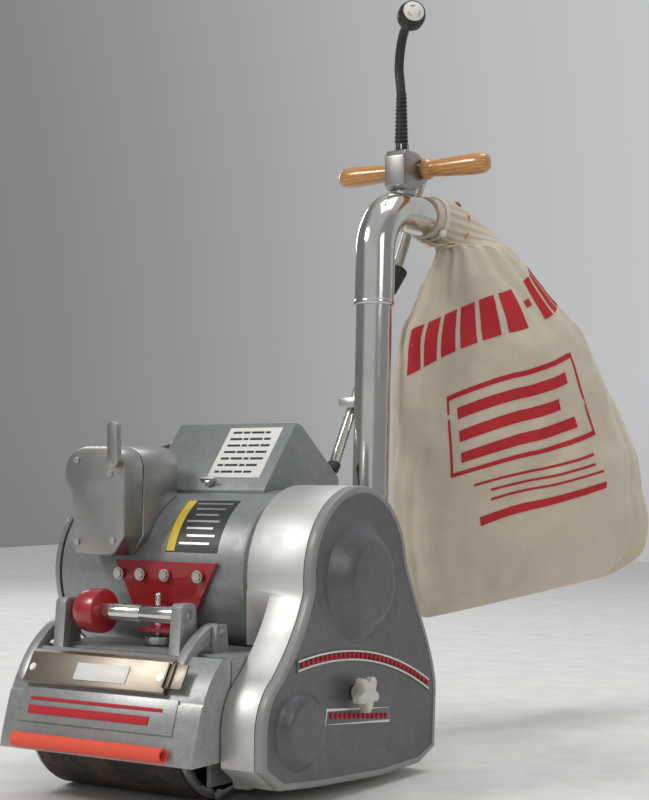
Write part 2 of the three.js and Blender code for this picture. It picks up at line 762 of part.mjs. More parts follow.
// ---------------------------------------------------------------- handle
const blockTop = handleZ + 22;
const blockFront = 531;
const saddle = box(-13, 13, 540, 572, elbowTopZ + 10, handleZ - 29);
const block = join(
  alongX(
    polygon([[blockFront, handleZ - 29], [blockFront, blockTop - 9], [blockFront + 6, blockTop],
      [570, blockTop], [handleY + 14, handleZ + 11], [handleY + 14, handleZ - 15],
      [572, handleZ - 31], [538, handleZ - 35]]),
    -16, 16,
  ),
  saddle,
);
piece(
  "handle_block",
  cut(
    block,
    bar(elbowPath(elbowRimZ, elbowEndY), elbowRadius + gap, 24, elbowLength),
    rodX(9 + gap, -20, 20, { y: handleY, z: handleZ }, 24),
    rodZ(8, handleZ - 3, blockTop + 1, 0, 552, 20),
  ),
  finishes.steel,
);
piece(
  "handle_bar",
  rodX(9, -handleWidth / 2 + 20, handleWidth / 2 - 20, { y: handleY, z: handleZ }, 20),
  finishes.steel,
);
function grip(side) {
  const innerEnd = 18;
  const outerEnd = handleWidth / 2;
  const r = gripRadius;
  const profile = [
    [9 + gap, innerEnd], [r - 2, innerEnd], [r, innerEnd + 3], [r, innerEnd + 9],
    [r - 3.5, innerEnd + 15], [r - 2, innerEnd + 40], [r, outerEnd - 28], [r - 1, outerEnd - 10],
    [r - 6, outerEnd - 2], [0, outerEnd], [0, outerEnd - 19], [9 + gap, outerEnd - 19],
    [9 + gap, innerEnd],
  ];
  return turnedX(profile.map(([radius, x]) => [radius, side * x]), { y: handleY, z: handleZ }, 20);
}
piece("grip_left", grip(-1), finishes.wood);
piece("grip_right", grip(1), finishes.wood);

const conduitRadius = 7.6;
const conduitX = -(pipeRadius + conduitRadius + 3); // clear of the dust pipe
const conduitPath = throughPoints([
  [conduitX, 430, 387], [conduitX, 480, 472], [conduitX, 530, 557], [conduitX, 580, 642],
  [conduitX, 622, 713], [conduitX + 1, 640, 752], [conduitX + 7, 645, handleZ - 29],
  [-15, 636, handleZ - 9], [-5, 622, handleZ - 4], [-3, 611, handleZ - 3],
  [-3, handleY + 14.6, handleZ - 3],
]);
piece(
  "conduit",
  cut(bar(conduitPath, conduitRadius, 12, 18), bar(conduitPath, conduitRadius - 2, 8, 18)),
  finishes.chrome,
);
const conduitLean = Math.atan2(50, 85);
const onConduit = (geometry, y, z) =>
  geometry.rotateX(Math.PI / 2).rotateX(-conduitLean).translate(conduitX, y, z);
piece(
  "conduit_collar",
  cut(
    onConduit(new THREE.CylinderGeometry(17, 10, 38, 20), 588, 655),
    bar(conduitPath, conduitRadius + gap, 12, 18),
  ),
  finishes.black,
);
// A bridge that holds the conduit to the dust pipe where the two pass.
piece(
  "conduit_clamp",
  cut(
    box(conduitX - 12, -12, 458, 497, 464, 478),
    bar(conduitPath, conduitRadius + gap, 12, 18),
    alongPipe(pipeRadius + gap, 400, 640, 28),
  ),
  finishes.steel,
);
piece(
  "conduit_bushing",
  onConduit(new THREE.CylinderGeometry(9.5, 8.5, 12, 20), 430 - 4.2, 387 - 7.2),
  finishes.black,
);
const supplyCable = throughPoints([
  [conduitX, 430 - 7.6, 387 - 13], [conduitX, 414, 360], [conduitX, 392, 342], [conduitX, 356, 334],
  [conduitX, 320, 334], [conduitX, 290, 335], [conduitX, 264, 335],
]);
piece("supply_cable", bar(supplyCable, 5.5, 10, 14), finishes.black);

// ---------------------------------------------------------------- cord, strain relief and plug
const cordRadius = 6.9;
const cordBendRadius = 57; // about four diameters
const plugAxis = vector(0.692, -0.682, 0.2355).normalize(); // from the cord to the blades
const cordFootZ = blockTop + 37;
const cordRise = [
  [0, 552, cordFootZ], [0, 552, cordFootZ + 16], [0, 552, cordFootZ + 34],
  [-0.8, 552, cordFootZ + 50], [-2.4, 552, cordFootZ + 66],
];
const bendStart = vector(-4, 552, cordFootZ + 81);
const forward = vector(plugAxis.x, plugAxis.y, 0).normalize();
const bendAngle = Math.acos(plugAxis.z);
const cordBend = Array.from({ length: 8 }, (_, index) => {
  const angle = (index / 7) * bendAngle;
  return bendStart.clone()
    .addScaledVector(forward, cordBendRadius * (1 - Math.cos(angle)))
    .add(vector(0, 0, cordBendRadius * Math.sin(angle)))
    .toArray();
});
const cordPoints = [...cordRise, ...cordBend];
piece(
  "strain_relief",
  cut(
    turnedZ(
      [[0, blockTop + gap], [11, blockTop + gap], [11, blockTop + 25], [8.6, blockTop + 27],
        [8.6, blockTop + 35], [9.6, blockTop + 37], [9.6, blockTop + 85], [0, blockTop + 85]],
      0, 552, 20,
    ),
    bar(throughPoints([[0, 552, blockTop + 35], ...cordPoints.slice(1, 5)]), cordRadius + gap, 12, 8),
  ),
  finishes.black,
);
piece("power_cord", bar(throughPoints(cordPoints), cordRadius, 10, 24), finishes.black);
const plug = turnedZ(
  [[0, 0], [10, 0], [13, 6], [19.5, 16], [19.5, 30], [17.5, 33], [17.5, 38], [0, 38]], 0, 0, 28,
);
const plugFoot = vector(...cordPoints.at(-1)).addScaledVector(plugAxis, 1.2);
plug
  .applyQuaternion(new THREE.Quaternion().setFromUnitVectors(vector(0, 0, 1), plugAxis))
  .translate(...plugFoot.toArray());
piece("plug", plug, finishes.black);

// ---------------------------------------------------------------- dust bag
const bagTurn = radians(-48); // the broad side faces front and guard side
const bagRings = [
  // half width, half depth, height, sideways middle, rise of the ring to the right
  [39, 34, 730, -28, 0], [60, 46, 700, -22, 0], [102, 62, 640, -8, 0], [150, 74, 567, 10, 0],
  [172, 82, 480, 24, 0], [191, 84, 395, 42, 0.03], [194, 82, 330, 46, 0.06], [192, 74, 262, 56, 0.12],
  [181, 54, 216, 58, 0.18], [158, 26, 192, 52, 0.2], [140, 9, 186, 47, 0.2],
];
function loft(rings, sides) {
  const vertices = [];
  const faces = [];
  rings.forEach(([halfWidth, halfDepth, z, middle, rise]) => {
    for (let i = 0; i < sides; i++) {
      const angle = (i / sides) * 2 * Math.PI;
      const across = halfWidth * Math.cos(angle);
      vertices.push(middle + across, halfDepth * Math.sin(angle), z + rise * across);
    }
  });
  for (let ring = 0; ring + 1 < rings.length; ring++)
    for (let i = 0; i < sides; i++) {
      const next = (i + 1) % sides;
      const a = ring * sides + i;
      const b = ring * sides + next;
      faces.push(a, a + sides, b, b, a + sides, b + sides);
    }
  [0, rings.length - 1].forEach((ring, end) => {
    const [, , z, middle] = rings[ring];
    const centre = vertices.length / 3;
    vertices.push(middle, 0, z);
    for (let i = 0; i < sides; i++) {
      const a = ring * sides + i;
      const b = ring * sides + ((i + 1) % sides);
      if (end === 0) faces.push(centre, a, b);
      else faces.push(centre, b, a);
    }
  });
  const geometry = new THREE.BufferGeometry();
  geometry.setAttribute("position", new THREE.Float32BufferAttribute(vertices, 3));
  geometry.setIndex(faces);
  return join(geometry);
}
const bag = loft(bagRings, 28);
bag.rotateZ(-bagTurn).translate(70, 690, 0);
// The neck is tied round the end of the elbow and leads over to the bag.
const neckRadius = elbowRadius + 3.5;
const neck = bar(
  throughPoints([
    [0, elbowEndY - 32, elbowTopZ], [0, elbowEndY - 18, elbowTopZ],
    [25, elbowEndY + 8, elbowTopZ - 4], [54, elbowEndY + 38, elbowTopZ - 44],
  ]),
  neckRadius, 20, 8,
);
piece(
  "dust_bag",
  cut(
    join(bag, neck),
    bar(elbowPath(elbowRimZ, elbowEndY + 1), elbowRadius + gap, 24, elbowLength),
  ),
  finishes.canvas,
);

// ---------------------------------------------------------------- hood over the drum
const hoodStart = 58; // height of the lower edge
const hoodOutline = (radius) => {
  const outline = new THREE.Shape();
  const frontY = -(radius + 12);
  outline.moveTo(frontY, hoodStart);
  outline.lineTo(frontY + 3, hoodStart + 14);
  outline.quadraticCurveTo(-(radius + 4), 92, -radius + 6, 122);
  outline.absarc(0, drumAxis.z, radius, radians(159), radians(127), true);
  return outline;
};
const hoodOuter = hoodOutline(hoodRadius);
hoodOuter.lineTo(-52, 168);
hoodOuter.lineTo(-56, hoodStart);
hoodOuter.closePath();
const hoodHollow = hoodOutline(hoodRadius - hoodWall);
hoodHollow.lineTo(-40, 160);
hoodHollow.lineTo(-40, hoodStart - 4);
hoodHollow.lineTo(-(hoodRadius - hoodWall + 12), hoodStart - 4);
hoodHollow.closePath();
const hoodLeft = -bodyHalfWidth;
const armOutline = (thin) => {
  const outline = new THREE.Shape();
  outline.moveTo(-98 + thin, 134);
  outline.quadraticCurveTo(-82, 168, -56, 186 - thin);
  outline.quadraticCurveTo(-40, 198 - thin, hoodHinge.y, hoodHinge.z + hingeEyeRadius - thin);
  outline.absarc(hoodHinge.y, hoodHinge.z, hingeEyeRadius - thin, Math.PI / 2, -Math.PI / 3, true);
  outline.lineTo(-52, 174);
  outline.lineTo(-70, 150);
  outline.closePath();
  return outline;
};
const arms = pinX.map((x) => alongX(armOutline(0), x - armWidth / 2, x + armWidth / 2, 8));
const blockX = [[-111, -96], [61, 76]];
const wrenchAxis = { y: -44, z: 212 };
const postOutline = polygon([
  [-64, 160], [-58, 222], [-54, 226], [-36, 226], [-31, 220], [-31, 184], [-50, 172],
]);
const posts = blockX.map(([x0, x1]) => alongX(postOutline, x0, x1));
const hoodBody = join(
  cut(
    alongX(hoodOuter, hoodLeft, bodyHalfWidth, 8),
    alongX(hoodHollow, hoodLeft + hoodWall, bodyHalfWidth - hoodWall, 8),
  ),
  ...arms,
  ...posts,
);
const wrenchPinRadius = 5;
piece(
  "drum_hood",
  cut(
    hoodBody,
    rodX(hingePinRadius + gap, -150, 150, hoodHinge, 16),
    rodX(wrenchPinRadius + gap, -120, 90, wrenchAxis, 16),
    rodX(hoodRadius - hoodWall - 6, hoodLeft + hoodWall, bodyHalfWidth - hoodWall, drumAxis, 36),
  ),
  finishes.hammered,
);
pinX.forEach((x, index) =>
  piece(
    index === 0 ? "hinge_pin_left" : "hinge_pin_right",
    rodX(hingePinRadius, x - armWidth / 2, x + armWidth / 2 + 9, hoodHinge, 16),
    finishes.steel,
  ),
);
const bumperRadius = 8.5;
const lipSlope = Math.atan2(3, 14); // of the hood's lower edge, from upright
const bumperZ = 70;
const bumperAxis = {
  y: -(hoodRadius + 12) + (bumperZ - hoodStart) * Math.tan(lipSlope)
    - (bumperRadius + gap) / Math.cos(lipSlope),
  z: bumperZ,
};
piece(
  "bumper",
  cut(
    rodX(bumperRadius, -111, 106, bumperAxis, 20),
    rodX(bumperRadius - 3, -112, 107, bumperAxis, 16),
  ),
  finishes.bumperRed,
);
// A folded plate along the front of the hood, with a lip above and a foot that rests on the hood.
const benderFootZ = 130.3;
const benderFootY = -Math.sqrt((hoodRadius + gap) ** 2 - (benderFootZ - drumAxis.z) ** 2);
const benderOutline = polygon([
  [-102.5, 134], [-86, 163], [-80.5, 166], [-82.3, 168.2], [-89, 165.4], [-107, 134],
  [-105.5, 131.2], [benderFootY, benderFootZ], [benderFootY - 0.4, benderFootZ + 1.9],
]);
const benderX = [-118, 88];
piece("paper_bender", alongX(benderOutline, benderX[0], benderX[1]), finishes.stainless);

const wrenchKnobX = [-85, -47];
piece(
  "wrench_barrel",
  join(
    rodX(10, wrenchKnobX[1] + gap, 60, wrenchAxis, 24),
    rodX(wrenchPinRadius, 59, 74, wrenchAxis, 16),
  ),
  finishes.chrome,
);
piece(
  "wrench_knob",
  join(
    turnedX(
      [[0, wrenchKnobX[0]], [12, wrenchKnobX[0]], [22, wrenchKnobX[0] + 8], [26, wrenchKnobX[0] + 18],
        [26, wrenchKnobX[1]], [0, wrenchKnobX[1]]],
      wrenchAxis, 32,
    ),
    rodX(wrenchPinRadius, -109, wrenchKnobX[0] + 1, wrenchAxis, 16),
  ),
  finishes.red,
);

// ---------------------------------------------------------------- wheels
const wheel = (x) =>
  turnedX(
    [[axleRadius + runningGap, x - wheelWidth / 2], [wheelRadius - 4, x - wheelWidth / 2],
      [wheelRadius, x - wheelWidth / 2 + 4], [wheelRadius, x + wheelWidth / 2 - 4],
      [wheelRadius - 4, x + wheelWidth / 2], [axleRadius + runningGap, x + wheelWidth / 2],
      [axleRadius + runningGap, x - wheelWidth / 2]],
    { y: axleY, z: wheelRadius }, 28,
  );
piece("wheel_left", wheel(-wheelX), finishes.black);
piece("wheel_right", wheel(wheelX), finishes.black);
piece(
  "axle",
  rodX(axleRadius, -bodyHalfWidth - 4, bodyHalfWidth + 4, { y: axleY, z: wheelRadius }, 24),
  finishes.steel,
);

// ---------------------------------------------------------------- the part's own frame
// The origin is the middle of the base of everything but the free cord and its plug.
const machine = new THREE.Group();
const onTheCord = ["power_cord", "plug"];
const bounds = new THREE.Box3();
sander.children
  .filter((mesh) => !onTheCord.includes(mesh.name))
  .forEach((mesh) => bounds.expandByObject(mesh));
const middle = bounds.getCenter(vector(0, 0, 0));
sander.position.set(-middle.x, -middle.y, -bounds.min.z);
machine.add(sander);
export default machine;
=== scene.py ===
"""Looks for the floor drum sander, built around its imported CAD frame. Metres, +Z up, -Y the front."""
import logging
import math
from dataclasses import dataclass, field
from enum import Enum
from typing import Callable, Iterable, Sequence

import bmesh
import bpy
from mathutils import Matrix, Vector, noise


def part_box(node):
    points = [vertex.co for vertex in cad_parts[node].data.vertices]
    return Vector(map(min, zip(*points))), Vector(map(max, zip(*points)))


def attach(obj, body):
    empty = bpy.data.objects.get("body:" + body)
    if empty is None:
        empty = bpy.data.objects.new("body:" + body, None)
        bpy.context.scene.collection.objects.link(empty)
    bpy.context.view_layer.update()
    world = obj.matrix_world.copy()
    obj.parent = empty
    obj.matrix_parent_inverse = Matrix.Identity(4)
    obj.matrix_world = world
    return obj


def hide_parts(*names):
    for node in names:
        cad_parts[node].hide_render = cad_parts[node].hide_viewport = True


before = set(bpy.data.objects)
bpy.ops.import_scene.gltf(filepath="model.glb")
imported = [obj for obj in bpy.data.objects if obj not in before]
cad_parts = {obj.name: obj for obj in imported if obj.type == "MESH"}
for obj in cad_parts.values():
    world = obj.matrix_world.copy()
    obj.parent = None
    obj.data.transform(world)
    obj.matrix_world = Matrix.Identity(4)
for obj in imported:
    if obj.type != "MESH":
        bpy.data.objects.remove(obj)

logging.basicConfig(level=logging.INFO, format="%(message)s")
log = logging.getLogger("sander")
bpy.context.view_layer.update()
MM = 0.001

# The drawing's own origin: the middle of the body, the drum's axis and the floor.
_body, _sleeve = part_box("chassis"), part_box("abrasive_sleeve")
ORIGIN = Vector(((_body[0].x + _body[1].x) / 2, (_sleeve[0].y + _sleeve[1].y) / 2, 0.0))

Point = tuple[float, float, float]
Pair = tuple[float, float]


def at(x: float, y: float, z: float) -> Vector:
    """A point of the drawing, in millimetres, as a place in the frame, in metres."""
    return ORIGIN + Vector((x, y, z)) * MM


class Axis(Enum):
    """The direction that a turned or extruded piece runs in."""

    X = "x"
    Y = "y"
    Z = "z"


class Tree:
    """A material's node tree, with one method that adds any node."""

    def __init__(self, material: bpy.types.Material | bpy.types.World) -> None:
        """Empties the material's tree and keeps it."""
        material.use_nodes = True
        self.tree = material.node_tree
        self.tree.nodes.clear()

    def node(self, kind: str, settings: dict | None = None, **sockets: object) -> bpy.types.Node:
        """Adds a node.

        Args:
            kind: the node's type.
            settings: what is set on the node before its sockets.
            sockets: values or links, by socket name with spaces as underscores.

        Returns:
            The new node.
        """
        made = self.tree.nodes.new(kind)
        for name, value in (settings or {}).items():
            if name == "stops":
                self._stops(made.color_ramp, value)
            else:
                setattr(made, name, value)
        for name, value in sockets.items():
            socket = self._socket(made, name)
            if isinstance(value, Value):
                self.tree.links.new(value.socket, socket)
            elif isinstance(value, bpy.types.NodeSocket):
                self.tree.links.new(value, socket)
            else:
                socket.default_value = value
        return made

    @staticmethod
    def _socket(made: bpy.types.Node, name: str) -> bpy.types.NodeSocket:
        """A node's enabled input by name, or by its number after an n."""
        if name[0] == "n" and name[1:].isdigit():
            return made.inputs[int(name[1:])]
        wanted = name.replace("_", " ").lower()
        return next(s for s in made.inputs if s.name.lower() == wanted and s.enabled)

    @staticmethod
    def _stops(ramp: bpy.types.ColorRamp, stops: Sequence[tuple[float, Sequence[float]]]) -> None:
        """Sets a ramp's stops from pairs of place and colour."""
        while len(ramp.elements) < len(stops):
            ramp.elements.new(0.5)
        for element, (place, colour) in zip(ramp.elements, stops):
            element.position = place
            element.color = (*colour, 1.0)

    def value(self, kind: str, output: str | int = 0, settings: dict | None = None,
            **sockets: object) -> "Value":
        """Adds a node and wraps one of its outputs."""
        return Value(self, self.node(kind, settings, **sockets).outputs[output])

    def mix(self, mask: "Value", low: object, high: object) -> "Value":
        """A colour that goes from low to high with a mask."""
        def colour(c: object) -> object:
            """Adds the alpha that a colour socket wants."""
            return (*c, 1.0) if isinstance(c, tuple) and len(c) == 3 else c

        made = self.node("ShaderNodeMix", {"data_type": "RGBA"}, n0=mask, n6=colour(low),
            n7=colour(high))
        return Value(self, made.outputs[2])

    def noise(self, scale: float, detail: float = 3.0, rough: float = 0.5,
            where: object = None) -> "Value":
        """Noise from 0 to 1 on the piece's own coordinates, in metres."""
        vector = where if where is not None else self.place()
        return self.value("ShaderNodeTexNoise", 0, Vector=vector, Scale=scale, Detail=detail,
            Roughness=rough)

    def place(self, scale: Point = (1, 1, 1), turn: Point = (0, 0, 0)) -> "Value":
        """The piece's own coordinates, stretched or turned."""
        raw = self.node("ShaderNodeTexCoord").outputs["Object"]
        return self.value("ShaderNodeMapping", 0, Vector=raw, Scale=scale, Rotation=turn)

    def bump(self, height: "Value", strength: float, depth: float, under: object = None) -> "Value":
        """A bump in metres over an optional bump under it."""
        extra = {} if under is None else {"Normal": under}
        return self.value("ShaderNodeBump", 0, Strength=strength, Distance=depth, Height=height,
            **extra)

    def surface(self, **sockets: object) -> None:
        """Ends the tree in a Principled shader with these sockets."""
        shader = self.node("ShaderNodeBsdfPrincipled", None, **sockets)
        out = self.node("ShaderNodeOutputMaterial")
        self.tree.links.new(shader.outputs[0], out.inputs[0])


class Value:
    """A socket that takes part in arithmetic."""

    def __init__(self, tree: Tree, socket: bpy.types.NodeSocket) -> None:
        """Keeps the tree and the socket."""
        self.tree = tree
        self.socket = socket

    def _maths(self, operation: str, first: object, second: object = 0.0) -> "Value":
        """One Math node on two numbers or sockets."""
        return self.tree.value("ShaderNodeMath", 0, {"operation": operation}, n0=first, n1=second)

    def __add__(self, other: object) -> "Value":
        """Sum."""
        return self._maths("ADD", self, other)

    __radd__ = __add__

    def __mul__(self, other: object) -> "Value":
        """Product."""
        return self._maths("MULTIPLY", self, other)

    __rmul__ = __mul__

    def __sub__(self, other: object) -> "Value":
        """Difference."""
        return self._maths("SUBTRACT", self, other)

    def __rsub__(self, other: object) -> "Value":
        """Difference the other way round."""
        return self._maths("SUBTRACT", other, self)

    def __pow__(self, other: float) -> "Value":
        """Power."""
        return self._maths("POWER", self, other)

    def between(self, low: float, high: float) -> "Value":
        """0 below low, 1 above high, smooth between."""
        return self.tree.value(
            "ShaderNodeMapRange", 0, {"interpolation_type": "SMOOTHSTEP"},
            Value=self, From_Min=low, From_Max=high,
        )


@dataclass(frozen=True)
class Finish:
    """A finish: its name, its record slot and the base colour it starts from."""

    name: str
    slot: str
    colour: Point = (0.5, 0.5, 0.5)

    def build(self, tree: Tree) -> None:
        """Fills the tree: each kind of finish does this its own way."""
        raise NotImplementedError

    def material(self) -> bpy.types.Material:
        """The material, made once for each name."""
        found = bpy.data.materials.get(self.name)
        if found is None:
            found = bpy.data.materials.new(self.name)
            self.build(Tree(found))
        return found


@dataclass(frozen=True)
class Hammered(Finish):
    """Hammered enamel: small shallow dimples, a soft mottle, and dust in places."""

    cell: float = 620.0

    def build(self, tree: Tree) -> None:
        """Dimples, mottle, wear and a thin gloss."""
        dimple = tree.value("ShaderNodeTexVoronoi", 0, {"feature": "SMOOTH_F1"},
            Vector=tree.place(), Scale=self.cell)
        mottle = tree.noise(95, 4, 0.6)
        grime = tree.noise(9, 6, 0.62).between(0.44, 0.8)
        dark = tuple(c * 0.84 for c in self.colour)
        pale = tuple(min(1.0, c * 1.10) for c in self.colour)
        base = tree.mix(dimple.between(0.2, 0.8) * 0.55 + mottle.between(0.35, 0.65) * 0.45, pale,
            dark)
        dirty = tree.mix(grime * 0.4, base, tuple(c * 0.55 for c in self.colour))
        tree.surface(
            Base_Color=dirty, Metallic=0.45, Roughness=0.36 + 0.14 * grime,
            Normal=tree.bump(mottle * 0.6, 0.3, 0.0007, tree.bump(dimple, 0.22, 0.0004).socket),
            Coat_Weight=0.2, Coat_Roughness=0.25,
        )


@dataclass(frozen=True)
class Polished(Finish):
    """Plated or polished metal with faint scratches and hazy patches."""

    rough: float = 0.08
    haze: float = 0.16
    grain: Point = (30.0, 30.0, 30.0)

    def build(self, tree: Tree) -> None:
        """Streaks along the grain and hazy patches."""
        streak = tree.noise(28, 4, 0.6, tree.place(self.grain))
        patch = tree.noise(11, 5, 0.6).between(0.4, 0.8)
        stained = tree.mix(patch * 0.45, self.colour, tuple(c * 0.55 for c in self.colour))
        tree.surface(
            Base_Color=stained, Metallic=1.0,
                Roughness=self.rough + self.haze * patch + 0.08 * streak,
            Normal=tree.bump(streak, 0.12, 0.0003),
        )


@dataclass(frozen=True)
class Enamel(Finish):
    """Smooth paint or moulding with small chips and dust."""

    rough: float = 0.32
    shine: float = 0.3

    def build(self, tree: Tree) -> None:
        """Orange peel, chips and dust."""
        chips = tree.noise(160, 5, 0.7).between(0.66, 0.72)
        cloud = tree.noise(16, 5, 0.6)
        tone = tree.mix(cloud, tuple(c * 0.78 for c in self.colour),
            tuple(min(1, c * 1.12) for c in self.colour))
        tree.surface(
            Base_Color=tree.mix(chips * 0.6, tone, (0.13, 0.11, 0.1)),
                Roughness=self.rough + 0.18 * cloud,
            Normal=tree.bump(tree.noise(420, 2), 0.15, 0.0003), Coat_Weight=self.shine,
                Coat_Roughness=0.12,
        )


@dataclass(frozen=True)
class Rubber(Finish):
    """Matt rubber with fine grain and grey dust."""

    rough: float = 0.6

    def build(self, tree: Tree) -> None:
        """Fine grain under dusty patches."""
        dust = tree.noise(24, 6, 0.7).between(0.45, 0.8)
        tree.surface(
            Base_Color=tree.mix(dust * 0.4, self.colour, tuple(c + 0.09 for c in self.colour)),
            Roughness=self.rough + 0.15 * dust, Normal=tree.bump(tree.noise(900, 3), 0.25, 0.0003),
        )


@dataclass(frozen=True)
class Abrasive(Finish):
    """Coarse grit on dark paper, with wood dust caught in it."""

    def build(self, tree: Tree) -> None:
        """Single grains with bright specks and brown dust."""
        grit = tree.value("ShaderNodeTexVoronoi", 0, Vector=tree.place(), Scale=900)
        worn = tree.noise(20, 6, 0.7).between(0.45, 0.62)
        base = tree.mix(grit.between(0.15, 0.6), (0.13, 0.10, 0.085), (0.02, 0.017, 0.016))
        tree.surface(
            Base_Color=tree.mix(worn * 0.6, base, (0.17, 0.10, 0.06)), Roughness=0.82,
            Normal=tree.bump(grit, 0.9, 0.0012),
        )


@dataclass(frozen=True)
class Wood(Finish):
    """Turned wood under honey varnish, its grain along X."""

    def build(self, tree: Tree) -> None:
        """Long streaks and rings under varnish."""
        fibre = tree.noise(60, 5, 0.6, tree.place((0.25, 5.0, 5.0)))
        ring = tree.value(
            "ShaderNodeTexWave", 1, {"bands_direction": "Z"},
                Vector=tree.place((1, 1, 1), (0.12, 0.05, 0)),
            Scale=75, Distortion=4, Detail=3,
        )
        base = tree.mix(ring * 0.5 + fibre * 0.5, self.colour, (0.33, 0.135, 0.035))
        worn = tree.noise(30, 4).between(0.55, 0.8)
        tree.surface(
            Base_Color=tree.mix(worn * 0.35, base, (0.80, 0.56, 0.28)), Roughness=0.25 + 0.2 * worn,
            Normal=tree.bump(fibre, 0.2, 0.0004), Coat_Weight=0.7, Coat_Roughness=0.1,
        )


@dataclass(frozen=True)
class Canvas(Finish):
    """Cotton canvas: a plain weave with grey-brown stains in random patches."""

    def build(self, tree: Tree) -> None:
        """Two crossed thread waves on the cloth's own map, and stains."""
        uv = tree.node("ShaderNodeUVMap", {"uv_map": "cloth"}).outputs[0]
        warp, weft = (
            tree.value(
                "ShaderNodeTexWave", 1, {"bands_direction": way, "wave_profile": "SIN"},
                Vector=uv, Scale=330, Distortion=0.3, Detail=2,
            )
            for way in ("X", "Y")
        )
        thread = warp * 0.5 + weft * 0.5
        stain = tree.noise(7, 7, 0.62).between(0.46, 0.78)
        slub = tree.noise(130, 3, 0.6)
        tone = tree.mix(slub * 0.6 + thread * 0.4, tuple(c * 0.82 for c in self.colour),
            self.colour)
        tree.surface(
            Base_Color=tree.mix(stain * 0.35, tone, (0.40, 0.32, 0.23)), Roughness=0.92,
            Normal=tree.bump(thread + slub * 0.6, 0.35, 0.0004), Sheen_Weight=0.3,
                Sheen_Roughness=0.5,
        )


HAMMERED = Hammered("hammered_grey", "hammered", (0.335, 0.35, 0.345))
MOTOR_GREY = Hammered("hammered_motor", "hammered", (0.265, 0.28, 0.28), 700.0)
DARK_HAMMERED = Hammered("hammered_dark", "dark_hammered", (0.125, 0.124, 0.135), 560.0)
# The guard cover's rolled rim: the same dark hammered paint as the cover, made lighter and smoother as a painted
# highlight along the rolled edge.
RIM_PAINTED_HIGHLIGHT = Enamel("cover_rim_painted_highlight", "dark_hammered", (0.27, 0.265, 0.26), 0.4, 0.2)
BRUSHED = Polished("brushed_band", "brushed", (0.66, 0.655, 0.64), 0.46, 0.12, (1.0, 90.0, 90.0))
CHROME = Polished("chrome_plate", "chrome", (0.68, 0.67, 0.645), 0.06, 0.10)
SATIN = Polished("satin_tube", "chrome", (0.58, 0.57, 0.51), 0.2, 0.18)
ZINC = Polished("zinc_plate", "steel", (0.60, 0.60, 0.59), 0.26, 0.2)
CAST = Polished("cast_metal", "cast", (0.40, 0.39, 0.385), 0.3, 0.22)
STAINLESS = Polished("warm_stainless", "stainless", (0.27, 0.235, 0.19), 0.34, 0.14,
    (1.0, 25.0, 25.0))
COPPER = Polished("copper_wire", "copper", (0.55, 0.26, 0.12), 0.3, 0.1)
BRASS = Polished("brass_ring", "stainless", (0.75, 0.56, 0.24), 0.2, 0.15)
RED = Enamel("red_enamel", "red", (0.36, 0.01, 0.014), 0.28, 0.6)
BUMPER = Rubber("bumper_red", "bumper_red", (0.36, 0.012, 0.006), 0.55)
PRINT = Enamel("red_print", "red", (0.50, 0.012, 0.02), 0.6, 0.0)
WHITE = Enamel("white_label", "cream", (0.78, 0.77, 0.73), 0.45, 0.1)
YELLOW = Enamel("yellow_label", "cream", (0.80, 0.58, 0.05), 0.45, 0.1)
BLACK_PLATE = Enamel("black_label", "black", (0.02, 0.02, 0.022), 0.35, 0.2)
CREAM = Enamel("cream_casting", "cream", (0.62, 0.59, 0.53), 0.3, 0.5)
BLACK = Rubber("black_rubber", "black", (0.018, 0.018, 0.018), 0.5)
TYRE = Rubber("tyre_rubber", "tyre", (0.03, 0.03, 0.032), 0.7)
ROPE = Rubber("cotton_rope", "canvas", (0.72, 0.69, 0.62), 0.85)
GRIT = Abrasive("abrasive_paper", "abrasive")
WOOD = Wood("varnished_wood", "wood", (0.68, 0.33, 0.075))
CANVAS = Canvas("bag_canvas", "canvas", (0.68, 0.59, 0.47))


# ------------------------------------------------------------------ shapes
def link(name: str, mesh: bpy.types.Mesh) -> bpy.types.Object:
    """A new object at the origin that holds the mesh."""
    made = bpy.data.objects.new(name, mesh)
    bpy.context.scene.collection.objects.link(made)
    return made


def from_bmesh(name: str, bm: bmesh.types.BMesh, outward: bool = True) -> bpy.types.Object:
    """An object made from a bmesh, merged and turned face out."""
    bmesh.ops.remove_doubles(bm, verts=bm.verts, dist=1e-5)
    if outward:
        bmesh.ops.recalc_face_normals(bm, faces=bm.faces)
    mesh = bpy.data.meshes.new(name)
    bm.to_mesh(mesh)
    bm.free()
    return link(name, mesh)


def finished(
    obj: bpy.types.Object, finish: Finish, bevel: float = 0.0, smooth: float = 35.0, steps: int = 3,
) -> bpy.types.Object:
    """Rounds a piece's edges, smooths its shading and gives it a finish.

    Args:
        obj: the piece.
        finish: what it is made of.
        bevel: width of the rounded edges, in millimetres, or 0 for none.
        smooth: the widest angle between faces that is shaded as one curve, in degrees.
        steps: faces across a rounded edge.

    Returns:
        The same piece.
    """
    if bevel > 0:
        rounding = obj.modifiers.new("rounding", "BEVEL")
        rounding.width = bevel * MM
        rounding.segments = steps
        rounding.limit_method = "ANGLE"
        rounding.angle_limit = math.radians(smooth)
        rounding.harden_normals = False
        apply_modifiers(obj)
    obj.data.materials.clear()
    obj.data.materials.append(finish.material())
    obj.data.shade_smooth()
    obj.data.set_sharp_from_angle(angle=math.radians(smooth))
    log.info("made %s in %s", obj.name, finish.name)
    return obj


def apply_modifiers(obj: bpy.types.Object) -> None:
    """Puts the result of an object's modifiers in its mesh and removes them."""
    graph = bpy.context.evaluated_depsgraph_get()
    mesh = bpy.data.meshes.new_from_object(obj.evaluated_get(graph))
    obj.modifiers.clear()
    obj.data = mesh


def stand_for(obj: bpy.types.Object, body: str, *nodes: str) -> bpy.types.Object:
    """Rides a piece on a body and has it replace its CAD nodes."""
    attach(obj, body)
    if nodes:
        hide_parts(*nodes)
    return obj


